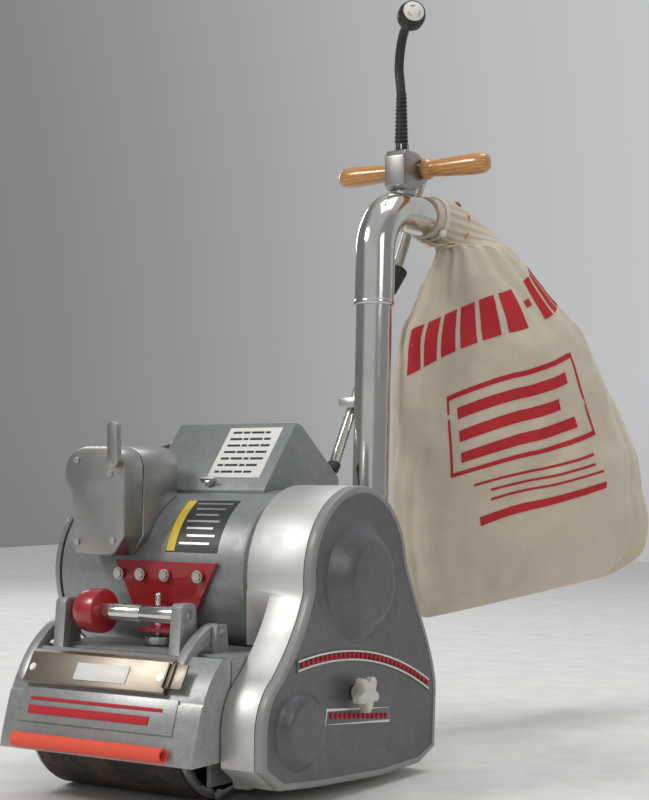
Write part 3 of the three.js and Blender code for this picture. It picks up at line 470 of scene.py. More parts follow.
def lathe(name: str, profile: Sequence[Pair], centre: Pair, axis: Axis = Axis.X,
        sides: int = 72) -> bpy.types.Object:
    """Turns a profile about an axis.

    Args:
        name: the piece's name.
        profile: radius and place along the axis, in millimetres.
        centre: the axis's place on the drawing: (y, z) along X, (x, z) along Y or (x, y) along Z.
        axis: the axis.
        sides: faces round it.

    Returns:
        The piece.
    """
    def spot(radius: float, along: float, angle: float) -> Vector:
        """A point at a radius and angle about the axis, and a distance along it."""
        a, b = radius * math.cos(angle), radius * math.sin(angle)
        if axis is Axis.X:
            return at(along, centre[0] + a, centre[1] + b)
        if axis is Axis.Y:
            return at(centre[0] + a, along, centre[1] + b)
        return at(centre[0] + a, centre[1] + b, along)

    bm = bmesh.new()
    rings = []
    for radius, along in profile:
        if radius < 1e-6:
            rings.append([bm.verts.new(spot(0, along, 0))] * sides)
        else:
            rings.append([bm.verts.new(spot(radius, along,
                2 * math.pi * i / sides)) for i in range(sides)])
    for low, high in zip(rings, rings[1:]):
        for i in range(sides):
            j = (i + 1) % sides
            corners = list(dict.fromkeys((low[i], low[j], high[j], high[i])))
            if len(corners) > 2:
                bm.faces.new(corners)
    return from_bmesh(name, bm)


def slab(name: str, outline: Sequence[Pair], low: float, high: float,
        axis: Axis = Axis.X) -> bpy.types.Object:
    """Extrudes an outline: (y, z) along X, (x, z) along Y or (x, y) along Z, in millimetres."""
    def spot(u: float, v: float, along: float) -> Vector:
        """A point of the outline, carried along the axis."""
        return at(*{Axis.X: (along, u, v), Axis.Y: (u, along, v), Axis.Z: (u, v, along)}[axis])

    bm = bmesh.new()
    near = [bm.verts.new(spot(u, v, low)) for u, v in outline]
    far = [bm.verts.new(spot(u, v, high)) for u, v in outline]
    bm.faces.new(near)
    bm.faces.new(far)
    for i in range(len(outline)):
        j = (i + 1) % len(outline)
        bm.faces.new((near[i], near[j], far[j], far[i]))
    return from_bmesh(name, bm)


def spline(points: Sequence[Vector], count: int) -> list[Vector]:
    """Points at equal steps of a smooth curve through the given ones."""
    ends = [2 * points[0] - points[1], *points, 2 * points[-1] - points[-2]]
    dense = []
    for a, b, c, d in zip(ends, ends[1:], ends[2:], ends[3:]):
        for k in range(16):
            t = k / 16
            dense.append(0.5 * (2 * b + (c - a) * t + (2 * a - 5 * b + 4 * c - d) * t**2
                                + (3 * b - a - 3 * c + d) * t**3))
    dense.append(points[-1].copy())
    reach = [0.0]
    for p, q in zip(dense, dense[1:]):
        reach.append(reach[-1] + (q - p).length)
    made, k = [], 0
    for i in range(count):
        want = reach[-1] * i / (count - 1)
        while k < len(reach) - 2 and reach[k + 1] < want:
            k += 1
        part = (want - reach[k]) / max(1e-9, reach[k + 1] - reach[k])
        made.append(dense[k].lerp(dense[k + 1], min(1.0, part)))
    return made


def hose(
    name: str, points: Sequence[Vector], radius: float | Callable[[float], float], sides: int = 40,
        count: int = 64,
    wall: float = 0.0,
) -> bpy.types.Object:
    """A round bar along a smooth path, or a tube with an open mouth where wall is given.

    Args:
        name: the piece's name.
        points: the path, in metres.
        radius: millimetres, or a function of the share of the length.
        sides: faces round it.
        count: steps along it.
        wall: the tube's thickness in millimetres.

    Returns:
        The piece.
    """
    path = spline(points, count)
    side = Vector((1, 0, 0))
    frames = []
    for i, p in enumerate(path):
        ahead = (path[min(i + 1, count - 1)] - path[max(i - 1, 0)]).normalized()
        side = side - ahead * side.dot(ahead)
        if side.length < 1e-4:
            side = ahead.orthogonal()
        side.normalize()
        frames.append((p, side.copy(), ahead.cross(side)))
    bm = bmesh.new()

    def shell(inset: float) -> list[list[bmesh.types.BMVert]]:
        """One wall of the hose, as rings of vertices."""
        rings = []
        for i, (p, u, v) in enumerate(frames):
            r = ((radius(i / (count - 1)) if callable(radius) else radius) - inset) * MM
            rings.append([
                bm.verts.new(p + (u * math.cos(a) + v * math.sin(a)) * r)
                for a in (2 * math.pi * k / sides for k in range(sides))
            ])
        return rings

    def skin(rings: list[list[bmesh.types.BMVert]]) -> None:
        """Joins each ring to the next with faces."""
        for low, high in zip(rings, rings[1:]):
            for k in range(sides):
                j = (k + 1) % sides
                bm.faces.new((low[k], low[j], high[j], high[k]))

    outer = shell(0.0)
    skin(outer)
    if wall > 0:
        inner = shell(wall)
        skin(inner)
        for end in (0, -1):
            for k in range(sides):
                j = (k + 1) % sides
                bm.faces.new((outer[end][k], outer[end][j], inner[end][j], inner[end][k]))
    else:
        bm.faces.new(outer[0])
        bm.faces.new(outer[-1])
    return from_bmesh(name, bm)


def refined(node: str, finish: Finish, body: str, bevel: float = 0.8,
        smooth: float = 32.0) -> bpy.types.Object:
    """A CAD node's own shape as a welded mesh with rounded edges, in its place.

    Args:
        node: the CAD node.
        finish: what it is made of.
        body: the body that it rides on.
        bevel: width of its rounded edges, in millimetres.
        smooth: the widest angle that is shaded as one curve.

    Returns:
        The piece.
    """
    bm = bmesh.new()
    bm.from_mesh(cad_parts[node].data)
    bmesh.ops.remove_doubles(bm, verts=bm.verts, dist=2e-6)
    bmesh.ops.dissolve_limit(
        bm, angle_limit=math.radians(0.6), verts=bm.verts, edges=bm.edges,
    )
    obj = from_bmesh(node + "_skin", bm, outward=False)
    finished(obj, finish, bevel, smooth, 2)
    return stand_for(obj, body, node)


def joined(name: str, parts: Iterable[bpy.types.Object]) -> bpy.types.Object:
    """One object from several, with its mesh in place."""
    bm = bmesh.new()
    for part in list(parts):
        bm.from_mesh(part.data)
        bpy.data.objects.remove(part)
    mesh = bpy.data.meshes.new(name)
    bm.to_mesh(mesh)
    bm.free()
    return link(name, mesh)


# ------------------------------------------------------------------ repeated fixings
class Head(Enum):
    """What the top of a fixing looks like: its number of sides."""

    HEX = 6
    ROUND = 24


@dataclass
class Fixings:
    """Rows of screw or bolt heads, set out by Geometry Nodes on points that carry their own direction."""

    name: str
    body: str
    head: Head
    radius: float
    height: float
    finish: Finish = ZINC
    places: list[tuple[Point, Point]] = field(default_factory=list)

    def tree(self) -> bpy.types.NodeTree:
        """Head and washer on every point, turned to the point's normal."""
        group = bpy.data.node_groups.new(self.name, "GeometryNodeTree")
        face = group.interface
        face.new_socket("Points", in_out="INPUT", socket_type="NodeSocketGeometry")
        for label in ("Radius", "Height"):
            face.new_socket(label, in_out="INPUT", socket_type="NodeSocketFloat")
        face.new_socket("Heads", in_out="OUTPUT", socket_type="NodeSocketGeometry")
        add, wire = group.nodes.new, group.links.new
        start, end = add("NodeGroupInput"), add("NodeGroupOutput")
        join = add("GeometryNodeJoinGeometry")
        for sides, wide, tall in ((self.head.value, 1.0, 1.0), (24, 1.35, 0.3)):
            drum = add("GeometryNodeMeshCylinder")
            drum.inputs["Vertices"].default_value = sides
            for socket, source, share in (("Radius", "Radius", wide), ("Depth", "Height", tall)):
                times = add("ShaderNodeMath")
                times.operation = "MULTIPLY"
                times.inputs[1].default_value = share
                wire(start.outputs[source], times.inputs[0])
                wire(times.outputs[0], drum.inputs[socket])
            wire(drum.outputs["Mesh"], join.inputs[0])
        turn = add("FunctionNodeAlignEulerToVector")
        turn.axis = "Z"
        way = add("GeometryNodeInputNamedAttribute")
        way.data_type = "FLOAT_VECTOR"
        way.inputs["Name"].default_value = "outward"
        wire(way.outputs[0], turn.inputs["Vector"])
        put, real, paint = (add("GeometryNode" + k) for k in ("InstanceOnPoints",
            "RealizeInstances", "SetMaterial"))
        paint.inputs["Material"].default_value = self.finish.material()
        wire(start.outputs["Points"], put.inputs["Points"])
        wire(join.outputs[0], put.inputs["Instance"])
        wire(turn.outputs[0], put.inputs["Rotation"])
        wire(put.outputs[0], real.inputs[0])
        wire(real.outputs[0], paint.inputs["Geometry"])
        wire(paint.outputs[0], end.inputs[0])
        return group

    def build(self) -> bpy.types.Object:
        """Makes the heads and rides them on their body."""
        mesh = bpy.data.meshes.new(self.name)
        mesh.from_pydata([at(*p) for p, _ in self.places], [], [])
        way = mesh.attributes.new("outward", "FLOAT_VECTOR", "POINT")
        for spot, (_, outward) in zip(way.data, self.places):
            spot.vector = Vector(outward).normalized()
        obj = link(self.name, mesh)
        step = obj.modifiers.new("heads", "NODES")
        step.node_group = self.tree()
        for item in step.node_group.interface.items_tree:
            if item.in_out == "INPUT" and item.name in ("Radius", "Height"):
                step[item.identifier] = {"Radius": self.radius,
                    "Height": self.height}[item.name] * MM
        apply_modifiers(obj)
        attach(finished(obj, self.finish, 0.0, 30), self.body)
        return obj


# ------------------------------------------------------------------ stage
@dataclass
class Stage:
    """Camera, soft lights and a plain pale floor."""

    eye: Point = (1215.8, -1509.4, 376.0)
    heading: Pair = (-0.5476, 0.8368)
    lens: float = 74.25
    rise: float = 0.0875
    floor_size: float = 9.0

    def build(self) -> None:
        """Sets the camera, the lights and the floor."""
        data = bpy.data.cameras.new("camera")
        data.lens = self.lens
        data.shift_y = self.rise
        data.clip_end = 40
        camera = bpy.data.objects.new("camera", data)
        camera.location = at(*self.eye)
        camera.rotation_euler = Vector((*self.heading, 0.0)).to_track_quat("-Z", "Y").to_euler()
        bpy.context.scene.collection.objects.link(camera)
        bpy.context.scene.camera = camera
        self.light("key", (-1.5, -2.4, 2.5), 0.9, 44, (1.0, 0.98, 0.95))
        self.light("side", (3.0, -1.0, 1.7), 1.1, 11, (1.0, 0.96, 0.90))
        self.light("top", (0.4, 0.6, 3.2), 1.6, 30, (0.97, 0.98, 1.0))
        self.light("back", (-2.4, 1.6, 1.6), 1.0, 12, (0.92, 0.96, 1.0))
        world = self.room()
        bpy.context.scene.world = world
        bpy.context.scene.view_settings.view_transform = "Standard"
        bpy.context.scene.view_settings.look = "None"
        half = self.floor_size / 2
        bm = bmesh.new()
        corners = ((-half, -half), (half, -half), (half, half), (-half, half))
        bm.faces.new([bm.verts.new((x, y, -0.0005)) for x, y in corners])
        floor = from_bmesh("floor", bm)
        floor.data.materials.append(Enamel("pale_floor", "cream", (0.80, 0.79, 0.77), 0.7,
            0.0).material())

    @staticmethod
    def room() -> bpy.types.World:
        """A pale studio: grey below the horizon, white above, with darker walls at two sides for metal to reflect."""
        world = bpy.data.worlds.new("soft_room")
        world.use_nodes = True
        tree = Tree(world)
        way = tree.node("ShaderNodeTexCoord").outputs["Generated"]
        split = tree.node("ShaderNodeSeparateXYZ", None, Vector=way)
        across, up = Value(tree, split.outputs[0]), Value(tree, split.outputs[2])
        wall = (across * -1.0).between(0.35, 0.75) * 0.62 + across.between(0.55, 0.8) * 0.45
        level = up.between(-0.35, 0.06) * 0.55 + 0.3
        sky = tree.node("ShaderNodeBackground", None, Color=(0.95, 0.96, 0.97, 1),
            Strength=level * (1.0 - wall) * 0.66)
        out = tree.node("ShaderNodeOutputWorld")
        tree.tree.links.new(sky.outputs[0], out.inputs[0])
        return world

    @staticmethod
    def light(name: str, place: Point, size: float, power: float, colour: Point) -> None:
        """A square soft light that faces the middle of the machine."""
        data = bpy.data.lights.new(name, "AREA")
        data.size = size
        data.energy = power
        data.color = colour
        lamp = bpy.data.objects.new(name, data)
        lamp.location = place
        lamp.rotation_euler = (Vector((0, 0, 0.4)) - Vector(place)).to_track_quat("-Z",
            "Y").to_euler()
        bpy.context.scene.collection.objects.link(lamp)


# ------------------------------------------------------------------ cord
@dataclass
class SupplyCord:
    """The short supply cord, its spring strain relief and its twist-lock plug."""

    radius: float = 6.9
    rise: tuple[Point, ...] = (
        (0, 552, 874), (0, 552, 890), (0, 552, 908), (-0.8, 552, 924), (-2.4, 552, 940))
    bend_start: Point = (-4, 552, 955)
    bend_radius: float = 57.0
    plug_axis: Point = (0.692, -0.682, 0.2355)
    blades: int = 3

    def route(self) -> list[Point]:
        """The cord's middle line: up from the relief, then over towards the front."""
        axis = Vector(self.plug_axis).normalized()
        forward = Vector((axis.x, axis.y, 0)).normalized()
        points = list(self.rise)
        for i in range(8):
            a = i / 7 * math.acos(axis.z)
            points.append(tuple(Vector(self.bend_start) + forward * self.bend_radius * (1 - math.cos(a))
                                + Vector((0, 0, self.bend_radius * math.sin(a)))))
        return points

    def plug(self) -> bpy.types.Object:
        """Ribbed body, pale face and curved blades, tilted to the front."""
        body = lathe("body", [
            (0, 0), (9, 0), (10, 2), (11, 5), (13, 7), (16, 11), (19.3, 16), (19.5, 18),
                (19.5, 29), (18.6, 31),
            (17.5, 33), (17.2, 36.5), (16.4, 37.9), (15.6, 37.9), (15.2, 36.9), (0, 36.9)], (0, 0),
                Axis.Z, 64)
        body.data.materials.append(BLACK.material())
        face = lathe("face", [(0, 36.8), (15.1, 36.8), (15.1, 37.5), (14.7, 37.8), (0, 37.8)],
            (0, 0), Axis.Z, 48)
        face.data.materials.append(WHITE.material())
        parts = [body, face]
        for i in range(self.blades):
            way = 2 * math.pi * i / self.blades + 0.4
            blade = slab("blade", [
                (r * math.cos(way + a), r * math.sin(way + a))
                for r, sweep in ((9.6, 1), (8.0, -1)) for a in [sweep * k * 0.12 for k in (-3, -2,
                        -1, 0, 1, 2, 3)]
            ], 37.7, 38.4, Axis.Z)
            blade.data.materials.append(BRASS.material())
            parts.append(blade)
        materials = [p.data.materials[0] for p in parts]
        bm = bmesh.new()
        for index, part in enumerate(parts):
            start = len(bm.faces)
            bm.from_mesh(part.data)
            bm.faces.ensure_lookup_table()
            for f in bm.faces[start:]:
                f.material_index = index
            bpy.data.objects.remove(part)
        axis = Vector(self.plug_axis).normalized()
        foot = Vector(self.route()[-1]) + axis * 1.2
        place = (Matrix.Translation(at(*foot)) @ Vector((0, 0,
            1)).rotation_difference(axis).to_matrix().to_4x4()
                 @ Matrix.Translation(-at(0, 0, 0)))
        bm.transform(place)
        mesh = bpy.data.meshes.new("twist_lock_plug")
        bm.to_mesh(mesh)
        bm.free()
        for material in materials:
            mesh.materials.append(material)
        made = link("twist_lock_plug", mesh)
        mesh.shade_smooth()
        mesh.set_sharp_from_angle(angle=math.radians(38))
        return stand_for(made, "frame", "plug")

    def build(self) -> None:
        """The relief, the cord as one curve, and the plug on its end."""
        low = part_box("strain_relief")[0].z / MM
        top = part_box("strain_relief")[1].z / MM
        rings: list[Pair] = [(0, low), (10.4, low), (10.6, low + 9), (9.6, low + 11)]
        z = low + 13
        while z < top - 6:
            share = (z - low) / (top - low)
            wide = 10.2 - 2.6 * share
            rings += [(wide - 1.1, z), (wide, z + 1.0), (wide, z + 3.4), (wide - 1.1, z + 4.4)]
            z += 5.6
        rings += [(7.2, top - 3), (7.2, top - 0.3), (0, top - 0.3)]
        relief = finished(lathe("strain_relief_spring", rings, (0, 552), Axis.Z, 48), BLACK, 0, 40)
        stand_for(relief, "frame", "strain_relief")
        band = lathe("relief_nut", [(10.9, low + 1), (11.0, low + 2), (11.0, low + 8), (10.9,
            low + 9)], (0, 552), Axis.Z, 6)
        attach(finished(band, ZINC, 0, 30), "frame")
        curve = bpy.data.curves.new("supply_cord_curve", "CURVE")
        curve.dimensions = "3D"
        curve.bevel_depth = self.radius * MM
        curve.bevel_resolution = 6
        curve.use_fill_caps = True
        points = spline([at(*p) for p in self.route()], 24)
        path = curve.splines.new("POLY")
        path.points.add(len(points) - 1)
        for spot, p in zip(path.points, points):
            spot.co = (*p, 1.0)
        cord = bpy.data.objects.new("supply_cord", curve)
        bpy.context.scene.collection.objects.link(cord)
        curve.materials.append(BLACK.material())
        stand_for(cord, "frame", "power_cord")
        plug = self.plug()
        length = sum((b - a).length for a, b in zip(points, points[1:]))
        log.info("made supply_cord, %.0f mm", length / MM)


# ------------------------------------------------------------------ pipe and handle
@dataclass
class DustPipe:
    """The dust pipe, its elbow, the T-handle on it and the conduit behind."""

    foot: Pair = (459, 165)
    lean: float = 2.3
    radius: float = 25.4
    rim: float = 608.0
    top: float = 749.0
    bend: float = 66.0
    end: float = 634.0
    elbow_radius: float = 27.9

    def lean_at(self, z: float) -> float:
        """How far back the pipe's middle is at a height."""
        return self.foot[0] + (z - self.foot[1]) * math.tan(math.radians(self.lean))

    def elbow_path(self, start: float, end: float) -> list[Vector]:
        """The elbow's middle line."""
        middle = (self.lean_at(self.top - self.bend) + self.bend, self.top - self.bend)
        path = [at(0, self.lean_at(start), start)]
        for i in range(11):
            a = math.pi - i / 10 * math.pi / 2
            path.append(at(0, middle[0] + self.bend * math.cos(a),
                middle[1] + self.bend * math.sin(a)))
        return [*path, at(0, (middle[0] + end) / 2, self.top), at(0, end, self.top)]

    def build(self) -> None:
        """Pipe, elbow with a rolled rim, block, bar, grips and conduit."""
        high = self.rim + 41
        pipe = hose("dust_pipe_tube", [at(0, self.lean_at(z), z) for z in (self.foot[1] + 0.5, 300,
            450, high)],
                    self.radius, 64, 12, 1.6)
        stand_for(finished(pipe, CHROME, 0, 40), "frame", "dust_pipe")
        elbow = hose("elbow_tube", self.elbow_path(self.rim + 0.3, self.end), self.elbow_radius,
            64, 56, 2.2)
        stand_for(finished(elbow, CHROME, 0.5, 40), "frame", "elbow")
        rim = lathe("elbow_rim", [(26.2, self.rim + 1), (28.2, self.rim + 1), (29.0, self.rim + 3),
            (28.6, self.rim + 7),
                                  (27.9, self.rim + 8), (26.2, self.rim + 8), (26.2, self.rim + 1)],
                    (0, self.lean_at(self.rim)), Axis.Z, 64)
        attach(finished(rim, CHROME, 0, 50), "frame")
        refined("handle_block", CAST, "frame", 1.6)
        refined("handle_bar", ZINC, "frame", 0.6)
        for side, node in ((-1, "grip_left"), (1, "grip_right")):
            self.grip(side, node)
        refined("conduit", SATIN, "frame", 0.0, 50)
        refined("conduit_collar", BLACK, "frame", 0.5)
        refined("conduit_clamp", ZINC, "frame", 0.6)
        refined("conduit_bushing", BLACK, "frame", 0.6)

    @staticmethod
    def grip(side: int, node: str) -> None:
        """One turned grip: bead, waist, swell and rounded end."""
        profile: list[Pair] = [
            (9.4, 18), (13.2, 18), (14.7, 19), (15.4, 21), (15.5, 24), (15.1, 27), (13.2, 29),
                (12.2, 31.5), (12.0, 34),
            (12.5, 40), (13.3, 52), (13.9, 64), (14.6, 78), (15.2, 90), (15.45, 99), (15.3, 107),
                (14.7, 114),
            (13.2, 119.5), (10.6, 122.8), (6.5, 124.5), (0, 124.9)]
        turned = lathe(node + "_turned", [(r, side * x) for r, x in profile], (587, 815), Axis.X,
            64)
        stand_for(finished(turned, WOOD, 0, 50), "frame", node)


# ------------------------------------------------------------------ motor
@dataclass
class Motor:
    """Motor shell, end bell with its through bolts, and the cradle under it."""

    centre: Pair = (126, 250)
    radius: float = 102.0
    left: float = -204.0
    right: float = 103.0

    def plate(self, name: str, x0: float, x1: float, start: float, end: float, finish: Finish,
            lift: float) -> None:
        """A thin plate that follows the barrel between two angles, in degrees from the rear horizon."""
        steps = [math.radians(start + (end - start) * k / 16) for k in range(17)]
        outline = [(self.centre[0] + r * math.cos(a), self.centre[1] + r * math.sin(a))
                   for r, way in ((self.radius - 0.2, steps),
                           (self.radius + lift, steps[::-1])) for a in way]
        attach(finished(slab(name, outline, x0, x1), finish, 0, 30), "frame")

    def build(self) -> None:
        """Shell, bell, nameplate, bolts and the parts inside."""
        r, inner = self.radius, self.radius - 7
        shell = lathe("motor_barrel", [
            (inner, self.left + 26.2), (r - 2, self.left + 26.2), (r - 0.4, self.left + 27.4),
                (r, self.left + 29),
            (r, self.right - 9), (r - 1.4, self.right - 4), (r - 6, self.right - 0.4),
                (13, self.right - 0.3),
            (13, self.right - 6), (inner, self.right - 7), (inner, self.left + 26.2)], self.centre,
                Axis.X, 128)
        stand_for(finished(shell, MOTOR_GREY, 0, 28), "frame", "motor_shell")
        bell = lathe("motor_bell", [
            (0, self.left + 0.2), (24, self.left + 0.2), (26, self.left + 1.6),
                (46, self.left + 1.8),
            (r - 34, self.left + 1), (r - 22, self.left + 3), (r - 12, self.left + 6.5),
                (r - 5, self.left + 12),
            (r - 1.5, self.left + 18), (r - 0.1, self.left + 23.4), (r - 8, self.left + 23.5),
                (0, self.left + 23.5)],
            self.centre, Axis.X, 128)
        stand_for(finished(bell, MOTOR_GREY, 0, 28), "frame", "motor_end_bell")
        self.plate("motor_nameplate", -16, 60, 119.5, 163.5, BLACK_PLATE, 0.7)
        self.plate("motor_nameplate_stripe", -15, -3, 120.2, 162.8, YELLOW, 1.0)
        for row in range(7):
            top = 123 + row * 5.6
            self.plate(f"motor_nameplate_row_{row}", 2 + (row % 3) * 4, 54 - (row * 5 % 11), top,
                top + 1.5, ZINC, 0.95)
        bolts = Fixings("motor_bolts", "frame", Head.HEX, 5.5, 4.0, ZINC)
        for i in range(4):
            a = math.radians(45 + 90 * i)
            bolts.places.append(((self.left + 4.6, self.centre[0] + 84 * math.cos(a),
                self.centre[1] + 84 * math.sin(a)),
                                 (-1, 0, 0)))
        bolts.build()
        for node, finish, body in (
            ("stator_winding", COPPER, "frame"), ("rotor_core", ZINC, "rotor"),
                ("motor_shaft", ZINC, "rotor"),
            ("motor_pulley", CAST, "rotor"), ("motor_cradle", DARK_HAMMERED, "frame"),
        ):
            refined(node, finish, body, 0.5)


# ------------------------------------------------------------------ base and drum
@dataclass
class Base:
    """Chassis, fan housing, wheels, belts and what turns inside them."""

    wheel_x: float = 96.0
    axle: Pair = (340, 45)

    def build(self) -> None:
        """Dresses the base's pieces and makes its wheels."""
        refined("chassis", HAMMERED, "frame", 1.2)
        refined("fan_housing", HAMMERED, "frame", 1.5)
        for node, finish, body in (
            ("drum_bearing_left", ZINC, "frame"), ("drum_bearing_right", ZINC, "frame"),
                ("axle", ZINC, "frame"),
            ("fan_impeller", CAST, "fan"), ("fan_shaft", ZINC, "fan"), ("fan_pulley", CAST, "fan"),
            ("drive_belt", BLACK, "frame"), ("fan_belt", BLACK, "frame"),
                ("supply_cable", BLACK, "frame"),
            ("hinge_pin_left", ZINC, "frame"), ("hinge_pin_right", ZINC, "frame"),
        ):
            refined(node, finish, body, 0.5)
        for node, x in (("wheel_left", -self.wheel_x), ("wheel_right", self.wheel_x)):
            tyre = lathe(node + "_tyre", [
                (32, x - 12), (36, x - 14.6), (41, x - 14.8), (43.8, x - 12.5), (44.9, x - 9),
                    (44.9, x - 3),
                (44.2, x - 2), (44.2, x + 2), (44.9, x + 3), (44.9, x + 9), (43.8, x + 12.5),
                    (41, x + 14.8),
                (36, x + 14.6), (32, x + 12), (32, x - 12)], self.axle, Axis.X, 72)
            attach(finished(tyre, TYRE, 0, 40), node)
            hub = lathe(node + "_hub", [
                (8.6, x - 14.4), (14, x - 14.4), (15, x - 9), (29, x - 7), (32.1, x - 11),
                    (32.1, x + 11), (29, x + 7),
                (15, x + 9), (14, x + 14.4), (8.6, x + 14.4), (8.6, x - 14.4)], self.axle, Axis.X,
                    64)
            stand_for(finished(hub, CAST, 0, 35), node, node)


@dataclass
class Drum:
    """The drum's core and its abrasive paper, with the rod that clamps the paper's ends."""

    radius: float = 82.0
    left: float = -132.0
    right: float = 91.0

    def build(self) -> None:
        """Paper, end bolts, and the core with its shaft, pulley and clamp rod."""
        r = self.radius
        sleeve = lathe("abrasive_paper_sleeve", [
            (r - 1.9, self.left + 5), (r - 0.2, self.left + 5), (r - 0.05, self.left + 6),
                (r - 0.05, 74.5), (r - 0.2, 75.4),
            (r - 1.9, 75.4), (r - 1.9, self.left + 5)], (0, 82), Axis.X, 144)
        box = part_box("abrasive_sleeve")
        span = (box[1].x - box[0].x) / MM
        middle = ((box[1].x + box[0].x) / 2 - ORIGIN.x) / MM
        for vertex in sleeve.data.vertices:
            share = (vertex.co.x - at(self.left + 5, 0, 0).x) / ((75.4 - self.left - 5) * MM)
            vertex.co.x = ORIGIN.x + (middle - span / 2 + span * share) * MM
        stand_for(finished(sleeve, GRIT, 0, 30), "drum", "abrasive_sleeve")
        for node, finish, body in (
            ("drum_core", CAST, "drum"), ("drum_shaft", ZINC, "drum"),
                ("drum_pulley", CAST, "drum"),
            ("paper_clamp_rod", ZINC, "paper_clamp"),
        ):
            refined(node, finish, body, 0.5)
        bolts = Fixings("drum_end_bolts", "drum", Head.HEX, 4.5, 3.2, ZINC)
        edge = (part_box("drum_core")[1].x - ORIGIN.x) / MM
        for i in range(6):
            a = math.radians(20 + 60 * i)
            bolts.places.append(((edge + 1.4, 74 * math.cos(a), 82 + 74 * math.sin(a)), (1, 0, 0)))
        bolts.build()


# ------------------------------------------------------------------ boxes, plates and switch
@dataclass
class Controls:
    """Terminal box, switch box with its lever, red tension plate and their labels."""

    slope: tuple[Pair, Pair] = ((98, 352), (166, 434))

    def label(self, name: str, corners: Sequence[Point], finish: Finish, lift: float,
            body: str = "frame") -> None:
        """A thin plate on four corners, standing a little off them."""
        spots = [at(*c) for c in corners]
        out = (spots[1] - spots[0]).cross(spots[3] - spots[0]).normalized()
        bm = bmesh.new()
        low = [bm.verts.new(p) for p in spots]
        high = [bm.verts.new(p + out * lift * MM) for p in spots]
        bm.faces.new(high)
        bm.faces.new(low[::-1])
        for i in range(4):
            j = (i + 1) % 4
            bm.faces.new((low[i], low[j], high[j], high[i]))
        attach(finished(from_bmesh(name, bm), finish, 0.15, 30, 2), body)

    def lines(self, name: str, corner: Point, across: Point, down: Point, rows: int,
            finish: Finish, body: str) -> None:
        """Rows of short raised bars on a label, where printed lines would be."""
        origin, u, v = at(*corner), Vector(across) * MM, Vector(down) * MM
        out = v.cross(u).normalized()
        parts = bmesh.new()
        for row in range(rows):
            low, high = (row + 0.28) / rows, (row + 0.62) / rows
            start = 0.06
            for k in range(4):
                end = min(0.94, start + 0.10 + 0.17 * (0.5 + 0.5 * math.sin(7.1 * row + 3.7 * k)))
                quad = [origin + u * a + v * b + out * 0.55 * MM for a, b in
                        ((start, low), (end, low), (end, high), (start, high))]
                parts.faces.new([parts.verts.new(p) for p in quad])
                start = end + 0.03
                if start > 0.85:
                    break
        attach(finished(from_bmesh(name, parts, outward=False), finish, 0, 30), body)

    def build(self) -> None:
        """Boxes, labels, lever and fixings."""
        refined("terminal_box", MOTOR_GREY, "frame", 3.0)
        refined("switch_base", CAST, "frame", 2.6)
        refined("switch_cover", CAST, "frame", 3.2)
        refined("switch_lever", CAST, "switch_lever", 1.2)
        refined("tension_plate", RED, "frame", 1.6)
        for node, finish, body in (
            ("tension_stud", CHROME, "frame"), ("tension_nut", ZINC, "tension_nut"),
                ("wing_nut", ZINC, "wing_nut"),
            ("cable_fitting", ZINC, "frame"), ("switch_cable", BLACK, "frame"),
        ):
            refined(node, finish, body, 0.6)
        (y0, z0), (y1, z1) = self.slope
        step = Vector((0, y1 - y0, z1 - z0))
        low, high = 0.18, 0.93
        def on(x: float, share: float) -> Point:
            """A point on the sloping face, at a share of its height."""
            return (x, y0 + step.y * share, z0 + step.z * share)
        self.label("box_label", (on(-17, low), on(62, low), on(62, high), on(-17, high)), WHITE,
            0.5)
        self.lines("box_label_lines", on(-14, high - 0.03), (73, 0, 0),
                   tuple(step * (low - high + 0.06)), 7, BLACK_PLATE, "frame")
        screws = Fixings("cover_screws", "frame", Head.ROUND, 3.2, 2.2, ZINC)
        screws.places = [((x, -14.8, z), (0, -1, 0)) for x,
            z in ((-118, 290), (-62, 292), (-118, 388), (-66, 372))]
        screws.build()
        bolts = Fixings("plate_bolts", "frame", Head.HEX, 5.5, 4.5, ZINC)
        bolts.places = [((-9 + x, 12.4, 252), (0, -1, 0)) for x in (-67, -34, 3, 52)]
        bolts.build()


